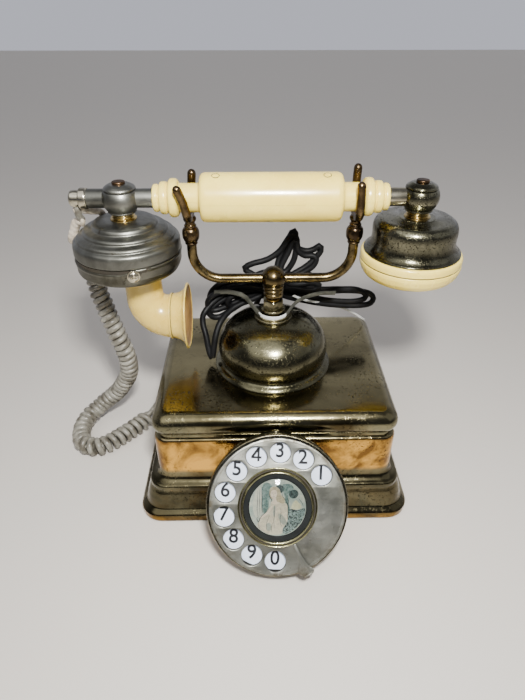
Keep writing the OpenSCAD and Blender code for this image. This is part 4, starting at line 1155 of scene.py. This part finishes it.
PATCHES = (
    ("teal", CARD_TEAL, [
        [(-8.4, 11.6), (-4.6, 13.6), (-2.6, 10), (-4.4, 4), (-5.4, -0.6), (-8, -2.4)],
        [(2.6, 12), (7, 12.8), (9, 10.4), (6, 6), (6.6, 0), (7.4, -4), (6, -8), (3.6, -10), (3, -2),
            (4.2, 4)],
    ]),
    ("columns", CARD_PALE, [
        [(-12.4, 8.6), (-9.2, 11.4), (-8.8, 2), (-9.2, -4), (-12.2, -5), (-13.6, 0)],
    ]),
    ("clumps", CARD_DARK, [
        [(-0.8, 11.6), (1.6, 12.4), (3.4, 11.2), (2.6, 8.2), (1.4, 8.6), (0.6, 10.4)],
        oval(9.0, 7.3, 2.7, 2.4, 20),
    ]),
    ("leaves", CARD_LEAVES, [
        [(5.4, -2), (8, -0.8), (11, -1.6), (15.0, -0.6), (14.8, -4.6), (12.4, -9), (8.4, -12.8),
            (3.6, -14.8), (2.6, -11.4), (5, -7.4)],
    ]),
    ("yellow", CARD_YELLOW, [
        [(7.4, -0.4), (8.2, 2.2), (10, 3.9), (11.4, 2.8), (13.2, 0.6), (12.2, -0.8), (9.8, -1.2)],
    ]),
    ("dress", CARD_DRESS, [
        [(-3.4, 3.2), (-0.6, 4.0), (2.6, 3.6), (5.2, 1.4), (5.6, -3), (5.0, -8), (2.8, -11.4), (1.8, -14.6),
            (-4.2, -15.0),
         (-9.4, -12.4), (-11.4, -9.8), (-9.6, -6), (-6.6, -2.8), (-4.4, 0.4)],
    ]),
    ("fold", CARD_FOLD, [
        [(0.2, -3.4), (2.4, -4), (4.6, -7), (4.4, -9.6), (2, -8.6), (0.6, -6)],
        [(-2.2, 0.6), (-1.2, 0.8), (-1.6, -4.4), (-2.6, -4.0)],
        [(-6.4, -9.2), (-4.2, -8.4), (-3.6, -12), (-5.8, -12.6)],
    ]),
    ("hair", CARD_HAIR, [
        [(-4.4, 8.2), (-3.8, 10.8), (-1.4, 11.6), (1.0, 10.2), (2.0, 7.2), (4.0, 4.0), (3.2, 2.2),
            (0.6, 3.0), (-1.4, 4.0), (-3.6, 5.4)],
    ]),
    ("skin", CARD_SKIN, [
        oval(-2.0, 7.5, 1.75, 2.35, -8),
        [(-2.6, 5.4), (-1.0, 5.4), (-0.4, 3.4), (0.8, 2.8), (-1.4, 1.8), (-3.4, 2.9), (-2.5, 4.0)],
        [(-4.0, 0.4), (-2.8, 0.8), (-4.6, -2.6), (-7.6, -5.0), (-9.6, -5.6), (-9.4, -4.6), (-6.6, -3.0)],
    ]),
)
STROKES = (
    (0.5, [(-8.6, 11.4), (-8.5, 6), (-8.6, 0), (-8.3, -3)]),
    (0.3, [(-11.2, 9.4), (-11.1, 4), (-11.3, -1), (-11.0, -5)]),
    (0.25, [(-10.0, 10.6), (-9.9, 4), (-10.1, -4)]),
    (0.5, [(-4.6, 9.4), (-4.4, 6.6), (-3.4, 4.4), (-3.6, 3.2)]),
    (0.35, [(2.2, 8.6), (3.0, 6), (5.2, 2.4), (5.6, -2), (5.2, -6)]),
    (0.3, [(-4.2, 1.0), (-6.0, -2.0), (-8.6, -4.2), (-10.8, -8.4), (-10.0, -12)]),
    (0.3, [(-1.8, 0.6), (-1.6, -3), (-2.2, -7), (-1.8, -11)]),
    (0.25, [(1.4, 0.4), (1.8, -3), (1.2, -7), (2.2, -11)]),
    (0.25, [(-4.4, -4), (-6.0, -8), (-6.4, -12.6)]),
    (0.25, [(-2.8, -8), (-3.6, -11), (-3.2, -14)]),
    (0.35, [(7.6, -1.0), (10, -1.9), (13.8, -1.0)]),
    (0.3, [(6.4, 5.4), (5.8, 2), (6.4, -2.4)]),
    (0.45, [(-10.6, -4.6), (-11.5, -6.0), (-10.8, -7.6), (-10.0, -6.6), (-10.4, -5.2)]),
    (0.3, [(11.6, 4.8), (13.4, 2.6), (14.2, 0.6)]),
    (0.14, [(-3.15, 7.85), (-2.75, 8.0), (-2.4, 7.85)]),
    (0.14, [(-1.6, 7.8), (-1.2, 7.9), (-0.8, 7.7)]),
    (0.1, [(-3.2, 8.45), (-2.75, 8.65), (-2.35, 8.5)]),
    (0.1, [(-1.6, 8.45), (-1.2, 8.55), (-0.75, 8.3)]),
    (0.1, [(-2.05, 7.6), (-2.15, 6.9), (-1.85, 6.75)]),
    (0.14, [(-2.5, 6.2), (-2.0, 6.1), (-1.55, 6.2)]),
)
for level, (name, material, outlines) in enumerate(PATCHES):
    piece("picture_" + name, joined(*[patch(o, level + 1) for o in outlines]), material, "dial",
        (), AT_DIAL)
piece(
    "picture_lines", joined(*[stroke(points, wide, len(PATCHES) + 1) for wide, points in STROKES]),
    CARD_LINE, "dial", (), AT_DIAL,
)

# ---------------------------------------------------------------- cradle
column_profile = rounded([
    (0, 38), (3, 38), (3, 54), (6.4, 54), (6.4, 55.6), (3, 55.6), (3, 124.2), (5.4, 124.3), (6.15, 125.0),
    (6.15, 126.6), (5.2, 127.4), (5.2, 128.0), (6.35, 128.5), (6.4, 129.4), (5.6, 130.1), (5.8, 130.5),
    (6.6, 131.0), (6.6, 132.0), (5.6, 132.8), (0, 133)], 0.4, 4)
ball = [(0.0, ROD_Z - KNOB_R)] + arc(KNOB_R, ROD_Z, range(-84, 85, 6)) + [(0.0, ROD_Z + KNOB_R)]
piece("cradle_column_turned", joined(lathe(column_profile, 64), lathe(ball, 64)), BRONZE, "cradle",
    ("cradle_column",))


def rod_half(reach):
    """Half of the rod, from the ball out to the upright at reach."""
    line = [(x, 0, ROD_Z) for x in (0, 10, 20, reach - BEND_R - 3)]
    line += [
        (reach - BEND_R + BEND_R * sind(a), 0, ROD_Z + BEND_R * (1 - cosd(a)))
        for a in range(0, 91, 6)
    ]
    return line + [(reach, 0, z) for z in (ROD_Z + BEND_R + 4, COLLAR_Z - 3.6)]


def rod_line():
    left = [(-x, y, z) for x, y, z in rod_half(FORK_LEFT)[1:]][::-1]
    return [Vector(p) for p in left + rod_half(FORK_X)]


piece("cradle_rod_bent", tube(rod_line(), ROD_R, 28), BRONZE, "cradle", ("cradle_rod",))


def collar_profile():
    return rounded([
        (0, -6.3), (3.1, -6.3), (3.7, -5.7), (3.7, -5.2), (3.2, -4.9), (4.1, -3.9), (4.8, -2.2), (5.0, 0),
        (4.8, 2.2), (4.1, 3.6), (3.1, 4.3), (3.5, 4.8), (3.5, 5.4), (2.9, 5.8), (2.8, 7.0), (3.6, 8.0),
        (3.8, 9.2), (3.2, 10.4), (0, 10.6)], 0.5, 4)


def squared(v):
    """Pushes a sine or cosine outwards, so that the arc it draws is squarer."""
    return math.copysign(abs(v) ** 0.7, v)


def fork_mesh(x, front_tip, back_tip):
    """U of round bar round the grip's neck. Both arms lean on their way up to their tips."""
    tip, back = Vector(front_tip), Vector(back_tip)
    line = [Vector((0, SADDLE_R, back.z * t)) for t in (1.0, 0.75, 0.5, 0.25)]
    turns = [math.radians(a) for a in range(0, 181, 3)]
    saddle = [Vector((0, SADDLE_R * squared(math.cos(a)), -SADDLE_R * squared(math.sin(a)))) for a in turns]
    line += spaced(saddle, 1.2)
    line += [Vector((0, -SADDLE_R, 0)).lerp(Vector((0, tip.y, tip.z)), t) for t in (0.3, 0.65, 1.0)]
    for p in line:
        if p.y < 0:
            p.x = tip.x * ((p.z + SADDLE_R) / (tip.z + SADDLE_R)) ** 1.7
        else:
            p.x = back.x * (p.z + SADDLE_R) / (back.z + SADDLE_R)
    ends = [math.radians(a) for a in (30, 60, 88)]
    first = [line[0] + Vector((0, 0, PRONG_R * math.sin(a))) for a in ends]
    way = (line[-1] - line[-2]).normalized()
    last = [line[-1] + way * (PRONG_R * math.sin(a)) for a in ends]
    points = first[::-1] + line + last
    caps = [PRONG_R * math.cos(a) for a in ends]
    radii = caps[::-1] + [PRONG_R] * len(line) + caps
    u = tube([p + Vector((x, 0, HANDSET.z)) for p in points], radii, 20)
    return joined(u, moved(lathe(collar_profile(), 48), shift(x, 0, COLLAR_Z)))


piece(
    "fork_pair",
    joined(
        fork_mesh(-FORK_LEFT, (-4.0, -SADDLE_R - 2.6, 8.4), (1.8, SADDLE_R, 10.4)),
        fork_mesh(FORK_X, (-0.8, -SADDLE_R, 9.2), (0.4, SADDLE_R, 13.0)),
    ),
    FORK, "cradle", ("forks",),
)

# ---------------------------------------------------------------- handset
GRIP_SIDES = 72
GRIP_GAP = 0.035
# Outline of the grip's right half: its body, the step down to its neck, and the beads at its end.
GRIP_STEP = [(GRIP_R, -3.2), (GRIP_R - 0.35, -1.6), (GRIP_R - 1.3, -0.45), (GRIP_R - 2.8, 0),
    (NECK_R + 0.9, 0), (NECK_R, 0.9)]
GRIP_BEADS = [
    (NECK_R, -0.5), (9.2, 0), (10.3, 1.0), (10.5, 2.6), (10.3, 4.4), (9.2, 5.3), (8.0, 5.5), (7.9, 5.9),
    (8.7, 6.5), (8.85, 8), (8.6, 9.7), (7.6, 10.2), (6.9, 10.4), (6.8, 10.8), (7.4, 11.3), (7.55, 12.4),
    (7.3, 13.6), (6.2, 14), (TUBE_R, 14),
]


def grip_outline():
    """The grip's outline from its left end to its right one, closed along the tube: [(r, x)]."""
    corners = [(GRIP_R, 0), (GRIP_R + 0.02, 20)] + [(r, GRIP_END + x) for r, x in GRIP_STEP]
    corners += [(r, NECK_END + x) for r, x in GRIP_BEADS]
    half = rounded(corners, 0.5, 3, closed=False)
    full = [(r, -x) for r, x in half[::-1]] + half[1:]
    return full + [(TUBE_R, full[-1][1]), (TUBE_R, full[0][1])]


def half_grip(name, low, node):
    """Half of the grip, cut at the level of the axis, with a hair's gap to the other half."""
    outline = grip_outline()
    rings = []
    for i in range(GRIP_SIDES + 1):
        a = math.pi * i / GRIP_SIDES
        ring = []
        for r, x in outline:
            up = max(r * math.sin(a), GRIP_GAP)
            ring.append((x, r * math.cos(a), -up if low else up))
        rings.append(ring)
    return piece(name, loft(rings), CREAM, "handset", (node,), shift(*HANDSET), 40)


half_grip("grip_upper_shell", False, "grip_upper")
half_grip("grip_lower_shell", True, "grip_lower")
GRIP_SCREW_X = 30
GRIP_SCREW_LEAN = 14


def on_grip(mesh, x, height, turn=0):
    """Puts a mesh on the grip at one of its screws' places."""
    out = spin(GRIP_SCREW_LEAN, "X") @ shift(0, 0, height) @ spin(turn, "Z")
    return moved(mesh, shift(*HANDSET) @ shift(x, 0, 0) @ out)


screw = slotted_head(1.9, 0.5, 0.5, 0.35, 0.1, n=32)
gap = lathe(rounded(band(1.85, 2.25, -0.6, 0.06), 0.05, 2), 40)
heads = [on_grip(screw, x, GRIP_R - 0.3, turn) for x, turn in ((-GRIP_SCREW_X, 25), (GRIP_SCREW_X, -10))]
gaps = [on_grip(gap, x, GRIP_R - 0.02) for x in (-GRIP_SCREW_X, GRIP_SCREW_X)]
piece("grip_screw_heads", joined(*heads), CREAM, "handset", ("grip_screws",))
# Painted shade: dark rings in the gaps round the grip's screw heads.
piece("grip_screw_gap_shade", joined(*gaps), GROOVE_SHADE_AND_GRIME, "handset")
piece(
    "handset_tube_pipe",
    lathe(rounded(band(TUBE_R - 0.9, TUBE_R, TUBE_LEFT, 0), 0.2), 64),
    NICKEL, "handset", ("handset_tube",), AT_HANDSET,
)
# Painted highlight: the tube's right half in a lighter nickel than its left.
piece(
    "handset_tube_right_highlit",
    lathe(rounded(band(TUBE_R - 0.9, TUBE_R, 0, TUBE_RIGHT), 0.2), 64),
    BRIGHT, "handset", (), AT_HANDSET,
)


def cap_mesh():
    z = TUBE_LEFT
    ring = rounded([(3.4, z - 2.4), (5.4, z - 2.4), (5.9, z - 1.8), (5.9, z + 1.4), (5.5, z + 2),
        (TUBE_R - 0.05, z + 2), (TUBE_R - 0.05, z), (3.4, z)], 0.4, 3)
    nose = rounded([(0, z - 8), (3.6, z - 7.9), (4.5, z - 7.0), (4.7, z - 5.5), (4.7, z - 2.2),
        (3.5, z - 2.2), (3.5, z - 6.6), (0, z - 6.9)], 0.5, 3)
    return joined(lathe(ring, 48), lathe(nose, 48))


piece("tube_end_ferrule", cap_mesh(), BRIGHT, "handset", ("tube_end_cap",), AT_HANDSET)

BALL_WIDEN = 1.09
BALL = rounded(
    [(0, -8.6), (5.6, -8.6), (7.4, -7.1)] + arc(9.6, 0, range(-42, 25, 6))
    + [(8.45, 4.5), (8.1, 4.75), (7.55, 4.8), (7.55, 5.15), (8.05, 5.2), (8.1, 5.7), (7.6, 6.5), (6.4, 7.3),
        (5.0, 8.0), (0, 8.3)], 0.28, 3)
for name, at, material in (("ball_left", AT_LEFT, NICKEL), ("ball_right", AT_RIGHT, BELL)):
    piece(name, lathe([(r * BALL_WIDEN, z) for r, z in BALL], 96), material, "handset",
        ("ball_joints",), at, 30)
    # Painted shade: a dark band in the groove round each ball.
    piece(name + "_joint", lathe(band(7.4, 7.8, 4.78, 5.18), 72), GROOVE_SHADE_AND_GRIME, "handset", (), at)
for name, at, turn in (("ball_screw_left", AT_LEFT, 12), ("ball_screw_right", AT_RIGHT, -20)):
    piece(name, slotted_head(3.6, 1.4, 0.9, 0.8, 0.3), COPPER, "handset", ("ball_screws",),
          at @ shift(0, 0, 8.2) @ spin(turn, "Z"))
STEM = rounded([
    (0, -11.6), (7.4, -11.6), (7.4, -10.9), (6.2, -10.7), (5.8, -10.3), (6.3, -9.9), (6.4, -9.5),
    (5.8, -9.1), (5.7, -8.8), (6.1, -8.4), (6.0, -8.0), (0, -7.6)], 0.25, 4)
for name, at in (("stem_left", AT_LEFT), ("stem_right", AT_RIGHT)):
    piece(name, lathe(STEM, 56), STEM_BRASS, "handset", ("cup_stems",), at)

TRANSMITTER_OUT = [
    (0, -11.2), (11.0, -11.4), (15.8, -12.0), (17.8, -12.9), (18.4, -14.0), (18.6, -15.0), (20.0, -15.5),
    (22.8, -16.0), (23.9, -16.9), (24.0, -18.1), (25.0, -18.7), (27.0, -19.3), (27.9, -20.2), (28.0, -21.3),
    (29.0, -21.8), (30.1, -22.7), (30.5, -24.2), (30.6, -28.8), (30.2, -29.4),
]


def transmitter_mesh():
    outside = rounded(TRANSMITTER_OUT, 0.7, 4, closed=False)
    inside = [(28.8, -29.4), (28.8, -24), (26.4, -22.6), (26.2, -20.8), (22.4, -19.6), (22.2, -17.4),
        (17, -16.2), (0, -14)]
    return lathe(outside + inside, 144)


piece("transmitter_cup_skin", transmitter_mesh(), NICKEL, "handset", ("transmitter_cup",),
    AT_LEFT, 40)

RECEIVER_OUT = [
    (0, -11.3), (10.2, -11.3), (10.8, -11.8), (17.4, -11.9), (20.4, -12.3), (22.4, -13.5), (23.6, -15.4),
    (24.1, -18), (24.0, -22), (24.1, -25), (24.8, -27.6), (26.2, -29.6), (27.7, -30.6), (28.1, -31.2),
    (27.9, -31.8),
]


def receiver_mesh():
    outside = [(p.x, p.y) for p in spline(RECEIVER_OUT[3:], 5)]
    lead = rounded(RECEIVER_OUT[:3], 0.2, 3, closed=False)
    inside = [(26, -31.8), (24, -29.8), (22.8, -26.4), (22.4, -23), (22.7, -18), (21.6, -14.8),
        (18.4, -13.4), (0, -13)]
    return lathe(lead + outside + inside, 144)


piece("receiver_bell_skin", receiver_mesh(), BELL, "handset", ("receiver_cup",), AT_RIGHT,
    40)


def earcap_mesh():
    outside = rounded([
        (26.2, -31.7), (28.4, -31.7), (29.2, -32.3), (29.6, -33.6), (29.6, -36.2), (29.2, -36.5),
        (29.2, -36.9), (29.6, -37.2), (29.6, -39.4), (28.6, -42.6), (26.8, -45.2), (24.2, -46.9),
        (21.5, -47.2), (18.5, -46.6), (12, -44.9), (0, -43.6)], 0.5, 3, closed=False)
    inside = [(0, -41.6), (12, -42.4), (20, -43.2), (24.5, -42), (26.4, -38)]
    return lathe(outside + inside, 144)


piece("receiver_cap_ring", earcap_mesh(), CREAM, "handset", ("receiver_cap",), AT_RIGHT,
    40)
# Painted shade: a dark band in the seam's groove round the ear cap, with some grime.
piece("earcap_seam_shade", lathe(band(28.9, 29.32, -36.95, -36.45), 120), GROOVE_SHADE_AND_GRIME, "handset", (),
    AT_RIGHT)
# Painted shade: dark discs on the ear cap where its holes are.
hole = lathe(rounded(band(0, 1.25, -44.25, -43.6), 0.1), 20)
holes = joined(*[moved(hole, shift(x, y, 0)) for x, y in circle(5.5, 6)])
piece("earcap_hole_shades", holes, GASKET, "handset", (), AT_RIGHT)


# ---------------------------------------------------------------- mouthpiece
def band_wobble(a, r, z):
    """The split band: tight at the right, sprung down a little at the left, where a gap shows."""
    around = (math.degrees(a) - 100) % 360
    open_part = min(1.0, around / 60) * min(1.0, max(0.0, (187 - around) / 14))
    if r > 20 and z > BAND_BOTTOM + 4:
        z -= 2.3 * open_part
        r -= 0.2 * open_part
    return r, z


def band_mesh():
    profile = rounded([
        (28.9, BAND_TOP), (30.6, BAND_TOP + 0.05), (31.0, BAND_TOP - 0.7), (30.6, BAND_TOP - 1.7),
        (30.4, BAND_TOP - 2.2), (30.3, BAND_TOP - 6.4), (29.9, BAND_TOP - 7.4), (29.4, BAND_BOTTOM + 2.6),
        (28.4, BAND_BOTTOM + 0.8), (27.0, BAND_BOTTOM), (5, BAND_BOTTOM), (5, BAND_BOTTOM + 1.4),
        (26.8, BAND_BOTTOM + 1.4), (28, BAND_BOTTOM + 3), (28.9, BAND_TOP - 6)], 0.4, 3)
    return lathe(profile, 180, band_wobble)


piece("clamp_band_ring", band_mesh(), BAND, "mouthpiece", ("clamp_band",), AT_LEFT, 40)
# Dark ring behind the split band, seen where the band is sprung down: painted shade in the gap, with some
# corrosion.
piece(
    "clamp_band_gap_shade", lathe([(28.95, BAND_TOP - 5), (30.1, BAND_TOP - 5), (30.2, BAND_TOP - 0.3),
        (28.95, BAND_TOP - 0.3)], 144),
    GROOVE_SHADE_AND_GRIME, "mouthpiece", (), AT_LEFT,
)
SCREW_TURN, SCREW_Z = -75, -33
SCREW_AT = AT_LEFT @ spin(SCREW_TURN, "Z") @ shift(30.9, 0, SCREW_Z) @ ALONG_X


def crack_mesh():
    """Jagged dark edge of the band's end, rising to the right of the screw: painted shade at the broken
    end, with some grime.
    """
    line = [
        (-72, -33.6, 0.7), (-68, -32.4, 0.9), (-66.5, -31.2, 0.5), (-62, -31.0, 0.8), (-60, -29.9, 0.5),
        (-56, -29.8, 0.2),
    ]
    rings = []
    for turn, z, wide in line:
        out = Vector((cosd(turn), sind(turn), 0))
        corners = ((30.95, wide), (30.95, -wide), (30.15, -wide), (30.15, wide))
        rings.append([out * r + Vector((0, 0, z + rise)) for r, rise in corners])
    return loft(rings)


piece("clamp_band_crack", crack_mesh(), GROOVE_SHADE_AND_GRIME, "mouthpiece", (), AT_LEFT)
piece(
    "clamp_screw_head",
    joined(slotted_head(2.9, 1.7, 0.7, 0.9, 0.5, cross=True),
        lathe(rounded(band(0, 3.5, -0.4, 0.5), 0.2), 40)),
    BRIGHT, "mouthpiece", ("clamp_screw",), SCREW_AT,
)


HORN_SIDES = 64
HORN_WALL = 1.9
# The flare: distances past the elbow, and the radius at each.
FLARE = (
    (0.6, 14.1), (2.4, 14.35), (4.1, 14.7), (5.6, 15.3), (6.9, 16.1), (8.0, 17.1), (8.8, 18.2), (9.4, 19.3),
    (9.8, 20.4), (10.0, 20.9),
)
ELBOW_END = Vector((HORN_X + ELBOW_R, 0, ELBOW_Z - ELBOW_R))


def horn_line():
    """Centreline of the horn from the band to its mouth, measured from the cup's axis."""
    down = [Vector((HORN_X, 0, BAND_BOTTOM - drop)) for drop in (0, 5, 10)]
    elbow = [
        Vector((HORN_X + ELBOW_R * (1 - cosd(a)), 0, ELBOW_Z - ELBOW_R * sind(a)))
        for a in range(0, 91, 5)
    ]
    return down + elbow + [ELBOW_END + Vector((x, 0, 0)) for x, r in FLARE]


def horn_mesh():
    line = horn_line()
    radii = [11.0] * 3 + [11.2 + 2.7 * a / 90 for a in range(0, 91, 5)] + [r for x, r in FLARE]
    outer, inner, lip = [], [], []
    for p, r, (t, u, v) in zip(line, radii, frames(line)):
        groove = 0.25 if (p - ELBOW_END).length < 0.2 else 0.0
        outer.append(hoop(p, u, v, r - groove, HORN_SIDES))
        inner.append(hoop(p, u, v, r - HORN_WALL, HORN_SIDES))
    t, u, v = frames(line)[-1]
    for a in range(15, 166, 25):
        lip.append(hoop(line[-1] + t * (0.8 * sind(a)), u, v, 20.0 + 0.95 * cosd(a), HORN_SIDES))
    return loft(outer + lip + inner[:0:-1])


def paint_inside(horn):
    """Gives the faces that look inwards near the horn's mouth the dark look."""
    horn.data.materials.append(HORN_INSIDE)
    end = AT_LEFT @ ELBOW_END
    for poly in horn.data.polygons:
        c = poly.center / MM
        d = Vector((c.y, c.z - end.z))
        n = Vector((poly.normal.y, poly.normal.z))
        if c.x > end.x - 14 and 0.5 < d.length < 19.4 and n.dot(d) < -0.15 * d.length:
            poly.material_index = 1


horn = piece("mouth_horn_skin", horn_mesh(), CREAM_HORN, "mouthpiece", ("mouth_horn",),
    AT_LEFT, 50)
paint_inside(horn)
AT_JOINT = AT_LEFT @ shift(*ELBOW_END) @ shift(-0.4, 0, 0) @ ALONG_X
piece(
    "horn_joint_ring",
    lathe(rounded([(9.4, 0), (14.25, 0), (14.5, 0.3), (14.5, 1.0), (14.25, 1.3), (9.4, 1.3)], 0.2), 72),
    CREAM_HORN, "mouthpiece", (), AT_JOINT,
)
# Painted shade: a dark line in the groove at the horn's joint.
piece("horn_joint_shade_line", lathe(band(9.6, 14.52, 1.35, 1.62), 72), GROOVE_SHADE_AND_GRIME, "mouthpiece", (),
    AT_JOINT)


# ---------------------------------------------------------------- stage
def aimed(way):
    return Vector(way).to_track_quat("-Z", "Y").to_euler()


def make_stage():
    bpy.ops.mesh.primitive_plane_add(size=6, location=(0, 0, 0))
    floor = bpy.context.object
    floor.name = "floor"
    p = Paint("floor_plain", roughness=0.55)
    p.colour(srgb(206, 200, 192))
    floor.data.materials.append(p.material)
    make_world()
    for name, way, power in (("sky", (0.3, 0.45, -1.0), 0.9), ("back_sky", (-0.25, -1.0, -0.45), 0.16)):
        sun = bpy.data.lights.new(name, "SUN")
        sun.energy = power
        sun.angle = math.radians(60)
        into_scene(name, sun).rotation_euler = aimed(way)
    for name, place, size, power, tint in (
        ("flash", (0.02, -0.30, 0.42), 0.05, 5.0, (1.0, 0.99, 0.96)),
        ("key", (-0.5, -0.8, 0.9), 0.9, 1.3, (1.0, 0.98, 0.95)),
        ("fill", (0.9, -0.35, 0.8), 0.9, 0.9, (0.97, 0.98, 1.0)),
    ):
        data = bpy.data.lights.new(name, "AREA")
        data.energy = power
        data.size = size
        data.color = tint
        lamp = into_scene(name, data)
        lamp.location = place
        lamp.rotation_euler = aimed(Vector((0, 0, 0.1)) - lamp.location)


def make_world():
    """Pale wall behind the telephone, fading to a dim room above and in front of it."""
    world = bpy.data.worlds.new("studio")
    world.use_nodes = True
    tree = world.node_tree
    way = tree.nodes.new("ShaderNodeSeparateXYZ")
    tree.links.new(tree.nodes.new("ShaderNodeTexCoord").outputs["Generated"], way.inputs[0])

    def ramp(source, *stops):
        n = tree.nodes.new("ShaderNodeMapRange")
        n.interpolation_type = "SMOOTHSTEP"
        for socket, value in zip(("From Min", "From Max", "To Min", "To Max"), stops):
            n.inputs[socket].default_value = value
        tree.links.new(source, n.inputs["Value"])
        return n.outputs["Result"]

    level = tree.nodes.new("ShaderNodeMath")
    level.operation = "MULTIPLY_ADD"
    tree.links.new(ramp(way.outputs["Y"], -0.4, 0.4, 0.0, 1.0), level.inputs[0])
    tree.links.new(ramp(way.outputs["Z"], 0.3, 0.8, 0.75, 0.15), level.inputs[1])
    level.inputs[2].default_value = 0.13
    bg = tree.nodes["Background"]
    bg.inputs["Color"].default_value = srgb(206, 208, 220)
    tree.links.new(level.outputs[0], bg.inputs["Strength"])
    bpy.context.scene.world = world


make_stage()
